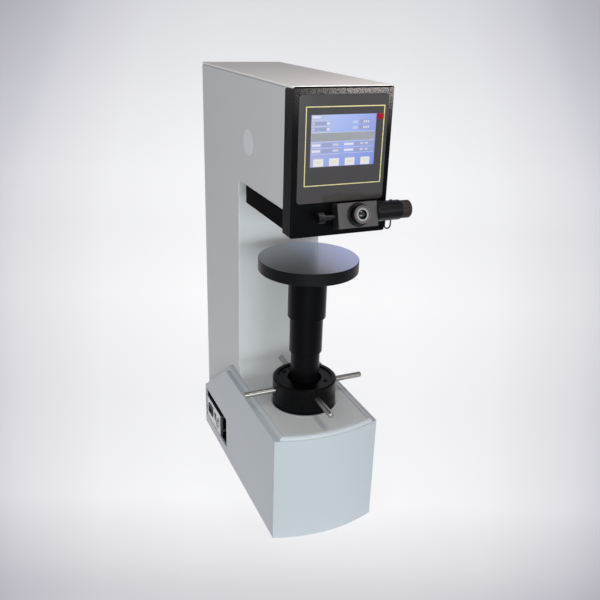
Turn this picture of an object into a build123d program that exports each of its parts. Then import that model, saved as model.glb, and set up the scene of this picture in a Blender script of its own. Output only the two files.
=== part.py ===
from build123d import *
import math
import os

# Bench hardness tester that presses a hard ball into a specimen.
# Frame: +Z up, origin on the floor under the elevating screw's axis, front towards -Y.
# All sizes in millimetres.

# Clearances shared by all pieces
SEAT_GAP = 0.3          # between pieces of different bodies that pass close by
RUN_GAP = 0.05          # radial play of a shaft in its bore
FIT_GAP = 0.02          # radial play of a piece fixed in its bore
PANEL_GAP = 0.4         # visible seam round a cover

# Cast frame: one C-shaped hollow casting
BODY_HALF = 93.0        # half width of foot, column and head
COLUMN_FRONT = 154.0    # throat depth behind the screw axis
COLUMN_DEPTH = 250.0
HEAD_FRONT = -87.0      # where the casting's head ends and the front housing begins
DECK_TOP = 242.0        # machined pad round the handwheel
THROAT_H = 446.0        # from the pad to the head's underside
HEAD_H = 206.8
DECK_T = 20.0
CAST_WALL = 12.0        # walls of column and head
FOOT_WALL = 14.0        # walls of the foot
FOOT_REAR_WALL = 19.0
ARM_FLOOR_T = 18.0
RIB_T = 12.0
COVE_R = 30.0
EDGE_R = 2.5
PAD_CORNER_Y = -112.5
PAD_BOW = 17.5          # how far the pad's front bows out
FOOT_HOLE_R = 5.1       # tapped M12
FOOT_HOLE_DEPTH = 35.0
FOOT_HOLE_INSET = 41.0  # from the flank
FOOT_HOLE_FRONT_INSET = 24.5
FOOT_HOLE_REAR_INSET = 28.0
FOOT_BOSS_R = 14.0
FOOT_BOSS_H = 60.0
CABLE_HOLE_R = 20.0
CABLE_HOLE_BACK = 166.0
BASE_PLATE_T = 4.0

# Cover round the foot
SHROUD_STEP = 20.0      # how far the cover stands out from the casting
SHROUD_CORNER_STEP = 5.5
SHROUD_NOSE_STEP = 9.0
SHROUD_REAR_INSET = 36.0
SHROUD_DROP = 8.0       # below the pad
SHROUD_WALL = 4.0
KNEE_BACK = 39.0        # behind the throat, where the flank's top edge starts to slope
SLOPE = 0.714           # fall of the flank per unit of depth
SHOULDER_STEP = 9.0
SHOULDER_CORNER_STEP = 7.0
SHOULDER_NOSE_STEP = 7.3
SHOULDER_R = 6.6
SHOULDER_DROP = 0.5     # how far the shoulder ends below the pad
SHOULDER_KNEE_BACK = 10.0

# Recess with the sockets in the left flank
RECESS_REAR_INSET = 7.0
RECESS_L = 168.0
RECESS_Z0 = 25.0
RECESS_H = 78.0
RECESS_DEPTH = 43.0
TRAY_T = 1.5
SOCKET_PANEL_FRONT_INSET = 49.0
SOCKET_PANEL_REAR_INSET = 11.0
SOCKET_PANEL_RISE = 3.0
SOCKET_PANEL_H = 56.0
SOCKET_PANEL_RIM = 7.0
SOCKET_PANEL_T = 2.0
POST_R = 3.5
POST_INSET = 8.0
INLET_INSET = 28.0
INLET_RISE = 30.0
INLET_W = 27.4
INLET_H = 19.8
INLET_DEEP = 24.0
INLET_FLANGE = 2.4
INLET_WALL = 1.6
INLET_CAVITY = 15.0
SWITCH_PITCH = 37.0
SWITCH_W = 13.0
SWITCH_H = 19.2
ROCKER_DEEP = 9.0
ROCKER_PIVOT = 4.5
ROCKER_TILT = 9.0
DATA_PITCH = 23.0
DATA_DROP = 6.0
DATA_W = 12.0
DATA_H = 30.0
DATA_DEEP = 12.0

# Lid
LID_T = 4.0
LID_STEP = 3.0          # how far the lid's foot stands in from its edge
LID_GAP = 1.2           # dark seam under the lid
LID_CORNER_R = 3.0
LID_LIP = 5.0

# Front housing and panel
BEZEL_DEPTH = 35.5
BEZEL_DROP = 43.0       # below the head's underside
BEZEL_WALL = 5.0
BEZEL_R = 4.0
BEZEL_EDGE_R = 1.5
PANEL_MARGIN = 10.0
PANEL_RISE = 18.0
PANEL_TOP_MARGIN = 7.8
PANEL_R = 6.0
PANEL_T = 2.0
PANEL_RECESS = 1.0
SCREEN_X = 0.6
SCREEN_SIDE = 22.3      # between the panel's edge and the display
SCREEN_TOP_MARGIN = 40.6
SCREEN_H = 86.2
GLASS_RECESS = 0.5
MODULE_MARGIN = 7.5
MODULE_T = 13.0
LENS_INSET = 13.8
LENS_DROP = 4.9
LENS_W = 12.4
LENS_H = 9.4
LENS_R = 2.0
LENS_PROUD = 0.8

# Tray under the head
SKIRT_INSET = 0.5
SKIRT_REAR_INSET = 44.0
SKIRT_DROP = 34.6
SKIRT_T = 2.2

# Round plug in the left flank of the head
PLUG_Y = 95.7
PLUG_RISE = 86.0
PLUG_R = 25.0
PLUG_SPIGOT_R = 22.3
PLUG_PROUD = 0.6
PLUG_DEPTH = 9.0

# Rear cover
COVER_INSET = 6.0
COVER_RISE = 4.0
COVER_TOP_MARGIN = 10.8
COVER_T = 2.0
LOUVRE_W = 56.0
LOUVRE_H = 4.0
LOUVRE_PITCH = 12.0
LOUVRE_ROWS = 8
LOUVRE_LOW_RISE = 88.0
LOUVRE_HIGH_DROP = 134.8
LOUVRE_X = 38.0
SCREW_HEAD_R = 3.6
SCREW_HEAD_H = 1.8
SCREW_R = 2.0
SCREW_LEN = 9.0
SCREW_INSET = 3.0

# Elevating screw, anvil and telescoping sleeves
SCREW_SHAFT_R = 25.0
SCREW_DROP = 95.0       # below the pad
TABLE_R = 100.0
TABLE_DROP = 125.0      # below the head
TABLE_T = 24.6
TABLE_EDGE = 1.2
SPIGOT_R = 12.5
SPIGOT_LEN = 38.0
KEY_W = 8.0
KEY_DEPTH = 3.9
KEY_RISE = 4.0
KEY_H = 16.0
KEY_LEN = 16.0
KEYWAY_RISE = 228.0
SLEEVE_TOP_STEP = 5.0
SLEEVE_MID_R = 34.0
SLEEVE_LOW_STEP = 4.0
SLEEVE_T = 3.0
SLEEVE_PLAY = 0.8
SLEEVE_TOP_L = 101.4
SLEEVE_LOW_LAP = 37.0
SLEEVE_TOP_LAP = 36.0
SLEEVE_LOW_L = 117.0
SLEEVE_CHAMFER = 1.2
SLEEVE_FLANGE_T = 3.0

# Handwheel hub with four rods, the nut inside it and the race below
HUB_R = 67.0
HUB_RISE = 58.0
HUB_CHAMFER = 3.0
HUB_RIM = 10.0
HUB_DISH = 3.0
WELL_PLAY = 2.0
WELL_DEPTH = 20.0
HUB_BORE_PLAY = 1.0
ROD_R = 6.0
ROD_DROP = 22.0
ROD_REACH = 68.0
ROD_SEAT = 21.0
NUT_WALL = 13.0
NUT_DROP = 36.0
NUT_FLANGE_STEP = 20.0
NUT_FLANGE_T = 11.6
RACE_STEP = 3.0
RACE_T = 2.1
NUT_BOSS_WALL = 22.0
NUT_BOSS_DROP = 58.0
BOSS_SLEEVE_GAP = 0.5
HUB_SCREW_STEP = 10.5
HUB_SCREW_R = 4.0
HUB_SCREW_HEAD_R = 6.0
HUB_SCREW_HEAD_H = 8.0
HUB_SCREW_SINK = 1.0

# Loading train in the head, on the screw axis
SPINDLE_R = 14.0
SPINDLE_DROP = 2.0
BUSH_WALL = 6.0
SPINDLE_BOSS_WALL = 4.0
SPINDLE_BOSS_H = 10.0
CELL_RISE = 68.0
CELL_T = 28.0
CELL_R = 34.0
CELL_NECK_R = 20.0
CROSSHEAD_T = 22.0
CROSSHEAD_CLEAR = 9.0
CROSSHEAD_HALF_Y = 26.0
GUIDE_CLEAR = 27.0
GUIDE_R = 8.0
GUIDE_SINK = 10.0
BALL_SCREW_R = 10.0
BALL_SCREW_CLEAR = 2.0
BALL_NUT_WALL = 8.0
BALL_NUT_FLANGE_STEP = 7.0
BALL_NUT_FLANGE_T = 10.0
BALL_NUT_T = 32.0
BRIDGE_DROP = 46.8      # below the body's top
BRIDGE_T = 16.0
BRIDGE_FRONT = -42.0
BRIDGE_REAR_STEP = 38.0
LEDGE_T = 10.0
LEDGE_W = 15.0
BEARING_WALL = 11.0
BEARING_T = 14.0
PULLEY_GAP = 4.0
PULLEY_T = 16.0
SCREW_PULLEY_R = 32.0
MOTOR_PULLEY_R = 14.0
COLLAR_STEP = 3.0
BELT_W = 12.0
BELT_T = 2.0
MOTOR_Y = 112.0
MOTOR_R = 32.0
MOTOR_L = 108.0
MOTOR_PILOT_R = 22.0
MOTOR_PILOT_T = 3.0
MOTOR_SHAFT_R = 6.0

# Turret under the head with indenter and objective
TURRET_Y = 40.0         # turret axis behind the spindle axis, also the stations' radius
TURRET_R = 58.0
TURRET_DROP = 12.0
TURRET_T = 22.0
TURRET_EDGE = 1.5
PIVOT_R = 10.0
PIVOT_HEAD_STEP = 6.0
PIVOT_HEAD_T = 8.0
PIVOT_NUT_STEP = 5.0
PIVOT_NUT_T = 9.0
STATION_ANGLE = 70.0
TIP_DROP = 80.0         # below the head
BALL_R = 5.0
SHANK_R = 9.0
HOLDER_STEP = 3.0
NOSE_R = 6.5
NOSE_RISE = 4.5
CONE_RISE = 14.0
SHANK_HEAD_STEP = 4.0
SHANK_HEAD_T = 5.7
SPRING_WELL_STEP = 5.0
SPRING_SEAT = 8.0
SPRING_STEP = 2.2
SPRING_WIRE_R = 0.8
SPRING_TURNS = 4
PRISM_BOX = 32.0
OBJECTIVE_R = 14.0
OBJECTIVE_DROP = 36.0
PRISM_BOX_H = 22.0
OBJECTIVE_TIP_STEP = 5.0

# Micrometer eyepiece, square to a face that leans back
FACE_X = 18.9
FACE_OUT = 35.5         # in front of the front housing
FACE_RISE = 1.2
FACE_LEAN = 16.2
BLOCK_W = 76.5
BLOCK_H = 44.3
BLOCK_T = 24.0
BLOCK_EDGE = 0.8
EYE_SLOT_TRAVEL = 4.0
EYE_TAIL_R = 9.0
EYE_TAIL_L = 12.0
EYE_FLANGE_R = 20.7
EYE_FLANGE_T = 3.6
EYE_CORE_R = 12.0
EYE_FRONT = 16.3
DIOPTRE_R = 15.7
DIOPTRE_BACK = 7.0
DIOPTRE_LIP = 8.4
DIOPTRE_LIP_T = 1.6
LENS_GLASS_R = 8.0
LENS_GLASS_T = 2.0
TUBE_OUT_R = 21.0
TUBE_IN_R = 12.0
TUBE_WALL = 3.0
TUBE_END_GAP = 5.0
DRUM_BACK = 11.5        # drum axis behind the face
DRUM_DROP = 0.2
DRUM_SLEEVE_R = 17.8
DRUM_SLEEVE_L = 48.0
DRUM_R = 16.0
DRUM_L = 19.7
DRUM_FLUTES = 18
DRUM_FLUTE_R = 1.1
DRUM_SHAFT_R = 4.0
DRUM_SHAFT_SEAT = 10.0
NUB_R = 2.2
NUB_H = 1.6
NUB_OUT = 30.85
KNOB_DROP = 3.7
KNOB_R = 9.5
KNOB_L = 12.2
KNOB_OUT = 21.65
KNOB_FLUTES = 14
KNOB_SHAFT_R = 3.0
KNOB_COLLAR_R = 6.0
KNOB_COLLAR_L = 13.0
RING_OUT = 27.85
RING_R = 6.0
RING_WIRE_R = 1.3
RING_DROP = 34.5
PRISM_HOUSE_X0 = -18.0
PRISM_HOUSE_X1 = 40.0
PRISM_HOUSE_L = 36.7
PRISM_HOUSE_H = 30.0

# Electronics in the column
BOARD_W = 128.0
BOARD_DROP = 28.0
BOARD_H = 160.0
BOARD_T = 1.6
CHIP_RISE = 60.0
CHIP_SIDE = 40.0
CHIP_T = 3.2
STRIP_INSET = 6.0
STRIP_RISE = 3.0
STRIP_H = 12.0
STRIP_T = 11.0
STANDOFF_R = 3.5
STANDOFF_L = 8.0
SUPPLY_W = 112.0
SUPPLY_RISE = 20.0
SUPPLY_H = 196.0
SUPPLY_T = 40.0
SHELF_RISE = 12.0
SHELF_DEPTH = 64.0

# Places that follow from the sizes above: casting and foot
HEAD_BOTTOM = DECK_TOP + THROAT_H
BODY_TOP = HEAD_BOTTOM + HEAD_H
BODY_REAR = COLUMN_FRONT + COLUMN_DEPTH
PIT_HALF = BODY_HALF - CAST_WALL
FOOT_CEILING = DECK_TOP - DECK_T
ARM_FLOOR = HEAD_BOTTOM + ARM_FLOOR_T
PAD_NOSE_Y = PAD_CORNER_Y - PAD_BOW
FOOT_HOLE_X = BODY_HALF - FOOT_HOLE_INSET
FOOT_HOLE_FRONT_Y = PAD_CORNER_Y + FOOT_HOLE_FRONT_INSET
FOOT_HOLE_REAR_Y = BODY_REAR - FOOT_HOLE_REAR_INSET
CABLE_HOLE_Y = COLUMN_FRONT + CABLE_HOLE_BACK
SHROUD_HALF = BODY_HALF + SHROUD_STEP
SHROUD_CORNER_Y = PAD_CORNER_Y - SHROUD_CORNER_STEP
SHROUD_NOSE_Y = PAD_NOSE_Y - SHROUD_NOSE_STEP
STUB_TOP = DECK_TOP + COVE_R
SHROUD_REAR = BODY_REAR - SHROUD_REAR_INSET
SHROUD_TOP = DECK_TOP - SHROUD_DROP
KNEE_Y = COLUMN_FRONT + KNEE_BACK
SHOULDER_HALF = BODY_HALF + SHOULDER_STEP
SHOULDER_CORNER_Y = PAD_CORNER_Y - SHOULDER_CORNER_STEP
SHOULDER_NOSE_Y = PAD_NOSE_Y - SHOULDER_NOSE_STEP
SHOULDER_KNEE_Y = KNEE_Y + SHOULDER_KNEE_BACK

# Places of recess, tray and sockets
RECESS_Y1 = SHROUD_REAR - RECESS_REAR_INSET
RECESS_Y0 = RECESS_Y1 - RECESS_L
RECESS_Z1 = RECESS_Z0 + RECESS_H
LINER_X = -(SHROUD_HALF - SHROUD_WALL) + SEAT_GAP
TRAY_BACK_X = -SHROUD_HALF + RECESS_DEPTH
SOCKET_PANEL_Y0 = RECESS_Y0 + SOCKET_PANEL_FRONT_INSET
SOCKET_PANEL_Y1 = RECESS_Y1 - SOCKET_PANEL_REAR_INSET
SOCKET_PANEL_Z0 = RECESS_Z0 + SOCKET_PANEL_RISE
SOCKET_PANEL_Z1 = SOCKET_PANEL_Z0 + SOCKET_PANEL_H
INLET_Y = SOCKET_PANEL_Y1 - INLET_INSET
INLET_Z = SOCKET_PANEL_Z0 + INLET_RISE
SWITCH_Y = INLET_Y - SWITCH_PITCH
SWITCH_Z = INLET_Z
DATA_Y = SWITCH_Y - DATA_PITCH
DATA_Z = INLET_Z - DATA_DROP

# Places of lid, front housing, panel, tray, plug and rear cover
LID_BOTTOM = BODY_TOP + LID_GAP
BODY_HEIGHT = LID_BOTTOM + LID_T
BEZEL_FRONT = HEAD_FRONT - BEZEL_DEPTH
BEZEL_BOTTOM = HEAD_BOTTOM - BEZEL_DROP
PANEL_HALF = BODY_HALF - PANEL_MARGIN
PANEL_Z0 = HEAD_BOTTOM + PANEL_RISE
PANEL_Z1 = BODY_TOP - PANEL_TOP_MARGIN
SCREEN_HALF = PANEL_HALF - SCREEN_SIDE
SCREEN_Z1 = BODY_TOP - SCREEN_TOP_MARGIN
SCREEN_Z0 = SCREEN_Z1 - SCREEN_H
LENS_X = PANEL_HALF - LENS_INSET
LENS_Z = SCREEN_Z1 - LENS_DROP
SKIRT_HALF = BODY_HALF - SKIRT_INSET
SKIRT_REAR = COLUMN_FRONT - SKIRT_REAR_INSET
SKIRT_BOTTOM = HEAD_BOTTOM - SKIRT_DROP
PLUG_Z = HEAD_BOTTOM + PLUG_RISE
COVER_HALF = BODY_HALF - COVER_INSET
COVER_Z0 = DECK_TOP + COVER_RISE
COVER_Z1 = BODY_TOP - COVER_TOP_MARGIN
LOUVRE_Z = (DECK_TOP + LOUVRE_LOW_RISE, BODY_TOP - LOUVRE_HIGH_DROP)

# Places of anvil, screw, sleeves, hub and nut
TABLE_TOP = HEAD_BOTTOM - TABLE_DROP
TABLE_BOTTOM = TABLE_TOP - TABLE_T
SCREW_BOTTOM = DECK_TOP - SCREW_DROP
KEYWAY_TOP = DECK_TOP + KEYWAY_RISE
HUB_BOTTOM = DECK_TOP + RACE_T + SEAT_GAP
HUB_TOP = DECK_TOP + HUB_RISE
HUB_DISH_R = HUB_R - HUB_RIM
WELL_R = SLEEVE_MID_R + WELL_PLAY
WELL_Z = HUB_TOP - WELL_DEPTH
HUB_BORE_R = SCREW_SHAFT_R + HUB_BORE_PLAY
ROD_Z = HUB_TOP - ROD_DROP
ROD_TIP = HUB_R + ROD_REACH
ROD_ROOT = HUB_R - ROD_SEAT
NUT_R = SCREW_SHAFT_R + NUT_WALL
NUT_FLANGE_R = NUT_R + NUT_FLANGE_STEP
NUT_BOTTOM = DECK_TOP - NUT_DROP
NUT_BOSS_R = NUT_R + NUT_BOSS_WALL
NUT_BOSS_BOTTOM = DECK_TOP - NUT_BOSS_DROP
KEY_Z0 = NUT_BOSS_BOTTOM + KEY_RISE
KEY_Z1 = KEY_Z0 + KEY_H
RACE_R = HUB_R + RACE_STEP
HUB_SCREW_PCR = WELL_R + HUB_SCREW_STEP
SLEEVE_TOP_R = SLEEVE_MID_R + SLEEVE_TOP_STEP
SLEEVE_LOW_R = SLEEVE_MID_R - SLEEVE_LOW_STEP
SLEEVE_TOP_Z0 = TABLE_BOTTOM - SLEEVE_TOP_L
SLEEVE_LOW_Z1 = WELL_Z + SLEEVE_LOW_L
SLEEVE_MID_Z0 = SLEEVE_LOW_Z1 - SLEEVE_LOW_LAP
SLEEVE_MID_Z1 = SLEEVE_TOP_Z0 + SLEEVE_TOP_LAP

# Places of the loading train
SPINDLE_BOTTOM = HEAD_BOTTOM - SPINDLE_DROP
BUSH_R = SPINDLE_R + BUSH_WALL
SPINDLE_BOSS_R = BUSH_R + SPINDLE_BOSS_WALL
CELL_Z = HEAD_BOTTOM + CELL_RISE
CROSSHEAD_Z = CELL_Z + CELL_T
CROSSHEAD_HALF_X = PIT_HALF - CROSSHEAD_CLEAR
GUIDE_X = PIT_HALF - GUIDE_CLEAR
BALL_NUT_Z = CROSSHEAD_Z + CROSSHEAD_T
BALL_SCREW_CLEAR_R = BALL_SCREW_R + BALL_SCREW_CLEAR
BALL_NUT_R = BALL_SCREW_R + BALL_NUT_WALL
BALL_NUT_FLANGE_R = BALL_NUT_R + BALL_NUT_FLANGE_STEP
BEARING_R = BALL_SCREW_R + BEARING_WALL
COLLAR_R = BALL_SCREW_R + COLLAR_STEP
BRIDGE_Z = BODY_TOP - BRIDGE_DROP
BRIDGE_TOP = BRIDGE_Z + BRIDGE_T
BRIDGE_REAR = MOTOR_Y + BRIDGE_REAR_STEP
PULLEY_Z = BRIDGE_TOP + PULLEY_GAP

# Places of turret, indenter and objective
TURRET_Z1 = HEAD_BOTTOM - TURRET_DROP
TURRET_Z0 = TURRET_Z1 - TURRET_T
PIVOT_HEAD_R = PIVOT_R + PIVOT_HEAD_STEP
PIVOT_NUT_R = PIVOT_R + PIVOT_NUT_STEP
TIP_Z = HEAD_BOTTOM - TIP_DROP
NOSE_Z = TIP_Z + NOSE_RISE
CONE_Z = TIP_Z + CONE_RISE
HOLDER_R = SHANK_R + HOLDER_STEP
SHANK_HEAD_R = SHANK_R + SHANK_HEAD_STEP
SPRING_R = SHANK_R + SPRING_STEP
SPRING_WELL_R = SHANK_R + SPRING_WELL_STEP
SPRING_WELL_Z = TURRET_Z0 + SPRING_SEAT
OBJECTIVE_Z = TURRET_Z0 - OBJECTIVE_DROP
OBJECTIVE_SPLIT = TURRET_Z0 - PRISM_BOX_H
OBJECTIVE_TIP_R = OBJECTIVE_R - OBJECTIVE_TIP_STEP

# Places of the micrometer eyepiece
FACE_Y = BEZEL_FRONT - FACE_OUT
FACE_Z = HEAD_BOTTOM + FACE_RISE
FACE = Location((FACE_X, FACE_Y, FACE_Z), (90 - FACE_LEAN, 0, 0))
FACE_RIGHT = FACE_X + BLOCK_W / 2
FACE_LEFT = FACE_X - BLOCK_W / 2
TUBE_BORE_R = TUBE_IN_R - TUBE_WALL
TUBE_END_Y = HEAD_FRONT - TUBE_END_GAP
SLEEVE_Y = FACE_Y + DRUM_BACK
DRUM_Z = FACE_Z - DRUM_DROP
DRUM_X0 = FACE_RIGHT + SEAT_GAP + DRUM_SLEEVE_L
NUB_X = FACE_RIGHT + NUB_OUT
KNOB_Z = FACE_Z - KNOB_DROP
KNOB_X1 = FACE_LEFT - KNOB_OUT
KNOB_X0 = KNOB_X1 - KNOB_L
RING_X = FACE_RIGHT + RING_OUT
RING_BOTTOM = DRUM_Z - RING_DROP
PRISM_HOUSE_Y1 = HEAD_FRONT + SEAT_GAP + PRISM_HOUSE_L

# Places of the electronics
SUPPLY_Z0 = DECK_TOP + SUPPLY_RISE
SUPPLY_Z1 = SUPPLY_Z0 + SUPPLY_H
SHELF_Z = SUPPLY_Z1 + SHELF_RISE
BOARD_Z1 = HEAD_BOTTOM - BOARD_DROP
BOARD_Z0 = BOARD_Z1 - BOARD_H


def block(x0, x1, y0, y1, z0, z1):
    """Box between two corners."""
    return Pos((x0 + x1) / 2, (y0 + y1) / 2, (z0 + z1) / 2) * Box(x1 - x0, y1 - y0, z1 - z0)


def post(r, z0, z1, x=0.0, y=0.0):
    """Upright cylinder."""
    return Pos(x, y, (z0 + z1) / 2) * Cylinder(r, z1 - z0)


def tube(r_out, r_in, z0, z1, x=0.0, y=0.0):
    """Upright tube."""
    return post(r_out, z0, z1, x, y) - post(r_in, z0, z1, x, y)


def bar_x(r, x0, x1, y, z):
    """Cylinder along X."""
    return Pos((x0 + x1) / 2, y, z) * Rot(0, 90, 0) * Cylinder(r, x1 - x0)


def bar_y(r, y0, y1, x, z):
    """Cylinder along Y."""
    return Pos(x, (y0 + y1) / 2, z) * Rot(90, 0, 0) * Cylinder(r, y1 - y0)


def stack(r, w0, w1):
    """Cylinder along the eyepiece's own axis, w measured from the block's face."""
    return Pos(0, 0, (w0 + w1) / 2) * Cylinder(r, w1 - w0)


def side_profile(points, half):
    """Outline in the side view, as wide as the piece."""
    return extrude(Plane.YZ * make_face(Polyline(*points, close=True)), half, both=True)


def bowed_plan(half, corner_y, nose_y, rear_y, z0, z1):
    """Block with straight flanks and a bowed front."""
    front = ThreePointArc((-half, corner_y), (0, nose_y), (half, corner_y))
    rest = Polyline((half, corner_y), (half, rear_y), (-half, rear_y), (-half, corner_y))
    return Pos(0, 0, z0) * extrude(make_face(front + rest), z1 - z0)


def rounded_plate(x0, x1, z0, z1, y0, y1, r):
    """Upright plate with rounded corners, its faces towards the front and the rear."""
    outline = RectangleRounded(x1 - x0, z1 - z0, r)
    place = Plane(((x0 + x1) / 2, y1, (z0 + z1) / 2), x_dir=(1, 0, 0), z_dir=(0, -1, 0))
    return extrude(place * outline, y1 - y0)


def group(solids):
    """Separate solids that share one node."""
    return Compound(children=list(solids))


def cast_envelope():
    """Outer form of the casting, before its pockets."""
    corners = [
        (PAD_NOSE_Y - FOOT_WALL, 0),
        (PAD_NOSE_Y - FOOT_WALL, DECK_TOP),
        (COLUMN_FRONT, DECK_TOP),
        (COLUMN_FRONT, HEAD_BOTTOM),
        (HEAD_FRONT, HEAD_BOTTOM),
        (HEAD_FRONT, BODY_TOP),
        (BODY_REAR, BODY_TOP),
        (BODY_REAR, 0),
    ]
    face = make_face(Polyline(*corners, close=True))
    throat = Vector(COLUMN_FRONT, DECK_TOP, 0)
    cove = min(face.vertices(), key=lambda v: (Vector(v) - throat).length)
    solid = extrude(Plane.YZ * fillet(cove, COVE_R), BODY_HALF, both=True)
    flank_edges = [e for e in solid.edges() if abs(abs(e.center().X) - BODY_HALF) < FIT_GAP]
    solid = fillet(flank_edges, EDGE_R)
    return solid & bowed_plan(BODY_HALF, PAD_CORNER_Y, PAD_NOSE_Y, BODY_REAR, 0, BODY_TOP)


def foot_boss_places():
    """Centres of the four tapped holes under the foot."""
    return [(sx * FOOT_HOLE_X, y) for sx in (-1, 1) for y in (FOOT_HOLE_FRONT_Y, FOOT_HOLE_REAR_Y)]


def foot_pocket(margin=0.0):
    """Hollow under the deck."""
    half = BODY_HALF - FOOT_WALL - margin
    front = PAD_CORNER_Y + FOOT_WALL + margin
    return block(-half, half, front, BODY_REAR - FOOT_REAR_WALL - margin, 0, FOOT_CEILING)


def whole_casting():
    """Foot, column and head arm, hollow, with bosses, ribs, ledges and bores."""
    pit_front = COLUMN_FRONT + CAST_WALL
    cast = cast_envelope() - foot_pocket()
    cast -= block(-PIT_HALF, PIT_HALF, pit_front, BODY_REAR, DECK_TOP, BODY_TOP)
    cast -= block(-PIT_HALF, PIT_HALF, HEAD_FRONT, pit_front, ARM_FLOOR, BODY_TOP)
    half = BODY_HALF - FOOT_WALL
    cast += post(NUT_BOSS_R, NUT_BOSS_BOTTOM, FOOT_CEILING)
    cast += block(-RIB_T / 2, RIB_T / 2, 0, BODY_REAR - FOOT_REAR_WALL, NUT_BOSS_BOTTOM, FOOT_CEILING)
    cast += block(-half, half, COLUMN_FRONT, pit_front, RECESS_Z1, FOOT_CEILING)
    cast += block(-PIT_HALF, PIT_HALF, pit_front, pit_front + SHELF_DEPTH, SHELF_Z, SHELF_Z + RIB_T)
    cast += post(SPINDLE_BOSS_R, ARM_FLOOR, ARM_FLOOR + SPINDLE_BOSS_H)
    for side in (-1, 1):
        ledge = (side * PIT_HALF, side * (PIT_HALF - LEDGE_W))
        cast += block(min(ledge), max(ledge), BRIDGE_FRONT, BRIDGE_REAR, BRIDGE_Z - LEDGE_T, BRIDGE_Z)
    for x, y in foot_boss_places():
        cast += post(FOOT_BOSS_R, 0, FOOT_BOSS_H, x, y)
    for x, y in foot_boss_places():
        cast -= post(FOOT_HOLE_R, 0, FOOT_HOLE_DEPTH, x, y)
    cast -= post(NUT_R + RUN_GAP, NUT_BOTTOM - BOSS_SLEEVE_GAP, DECK_TOP + COVE_R)
    cast -= post(HUB_BORE_R, 0, NUT_BOTTOM)
    cast -= key_bar(FIT_GAP)
    cast -= post(BUSH_R + FIT_GAP, HEAD_BOTTOM, ARM_FLOOR + SPINDLE_BOSS_H)
    cast -= post(PIVOT_R + FIT_GAP, HEAD_BOTTOM, ARM_FLOOR, 0, TURRET_Y)
    for side in (-1, 1):
        cast -= post(GUIDE_R + FIT_GAP, ARM_FLOOR - GUIDE_SINK, ARM_FLOOR, side * GUIDE_X)
    cast -= bar_x(PLUG_SPIGOT_R + FIT_GAP, -BODY_HALF, -PIT_HALF, PLUG_Y, PLUG_Z)
    cast -= post(CABLE_HOLE_R, FOOT_CEILING, DECK_TOP, 2 * CABLE_HOLE_R, CABLE_HOLE_Y)
    cast -= flank_window()
    cast -= block(-COVER_HALF, COVER_HALF, BODY_REAR - COVER_T, BODY_REAR, COVER_Z0, COVER_Z1)
    for x, z in cover_screw_places():
        cast -= bar_y(SCREW_R + FIT_GAP, BODY_REAR - COVER_T - SCREW_LEN, BODY_REAR, x, z)
    return cast


def frame_casting():
    """Column and head arm, standing on the stub of the foot."""
    return whole_casting() & block(-BODY_HALF, BODY_HALF, HEAD_FRONT, BODY_REAR, STUB_TOP, BODY_TOP)


def foot_casting():
    """Foot with the coved stub that the column stands on."""
    front = SHROUD_NOSE_Y
    return whole_casting() & block(-BODY_HALF, BODY_HALF, front, BODY_REAR, 0, STUB_TOP)


def flank_window():
    """Window in the foot's left flank that the connector tray stands in."""
    margin = 2 * TRAY_T
    return block(
        -BODY_HALF, -(BODY_HALF - FOOT_WALL), RECESS_Y0 - margin, RECESS_Y1 + margin,
        RECESS_Z0 - margin, RECESS_Z1 + margin,
    )


def base_plate():
    """Sheet that closes the foot from below, cut out round the tapped bosses."""
    plate = foot_pocket(SEAT_GAP) & block(-BODY_HALF, BODY_HALF, PAD_NOSE_Y, BODY_REAR, 0, BASE_PLATE_T)
    for x, y in foot_boss_places():
        plate -= post(FOOT_BOSS_R + SEAT_GAP, 0, BASE_PLATE_T, x, y)
    return plate


def above_slope(knee_y, knee_z):
    """Everything above the flank's sloping top."""
    far_y = BODY_REAR + COVE_R
    far_z = knee_z - SLOPE * (far_y - knee_y)
    return side_profile(
        [(knee_y, knee_z), (far_y, far_z), (far_y, BODY_TOP), (knee_y, BODY_TOP)], SHROUD_HALF + COVE_R
    )


def base_shroud():
    """Cover round the foot: bowed front, ledge, rounded shoulder and sloped rear flanks."""
    shoulder_top = DECK_TOP - SHOULDER_DROP
    shell = bowed_plan(SHROUD_HALF, SHROUD_CORNER_Y, SHROUD_NOSE_Y, SHROUD_REAR, 0, SHROUD_TOP)
    shell -= above_slope(KNEE_Y, SHROUD_TOP)
    shoulder = bowed_plan(SHOULDER_HALF, SHOULDER_CORNER_Y, SHOULDER_NOSE_Y, SHROUD_REAR, 0, shoulder_top)
    shoulder -= above_slope(SHOULDER_KNEE_Y, shoulder_top)
    ridge = [
        e for e in shoulder.edges()
        if abs(abs(e.center().X) - SHOULDER_HALF) < FIT_GAP and e.center().Z > SHROUD_TOP / 2
        and abs((e % 0.5).Z) < 0.9 and e.center().Y < SHROUD_REAR - FIT_GAP
    ]
    nose = [
        e for e in shoulder.edges()
        if e.geom_type == GeomType.CIRCLE and e.center().Z > SHROUD_TOP
    ]
    shell += fillet(ridge + nose, SHOULDER_R)
    wall = SHROUD_WALL
    hollow = bowed_plan(
        SHROUD_HALF - wall, SHROUD_CORNER_Y + wall, SHROUD_NOSE_Y + wall, SHROUD_REAR - wall,
        0, SHROUD_TOP - wall,
    )
    hollow -= above_slope(KNEE_Y, SHROUD_TOP - wall)
    shell -= hollow
    opening = (BODY_HALF + PANEL_GAP, PAD_CORNER_Y - PANEL_GAP, PAD_NOSE_Y - PANEL_GAP)
    shell -= bowed_plan(*opening, BODY_REAR, 0, DECK_TOP)
    recess = block(-SHROUD_HALF, -SHROUD_HALF + wall, RECESS_Y0, RECESS_Y1, RECESS_Z0, RECESS_Z1)
    return shell - recess


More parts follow.
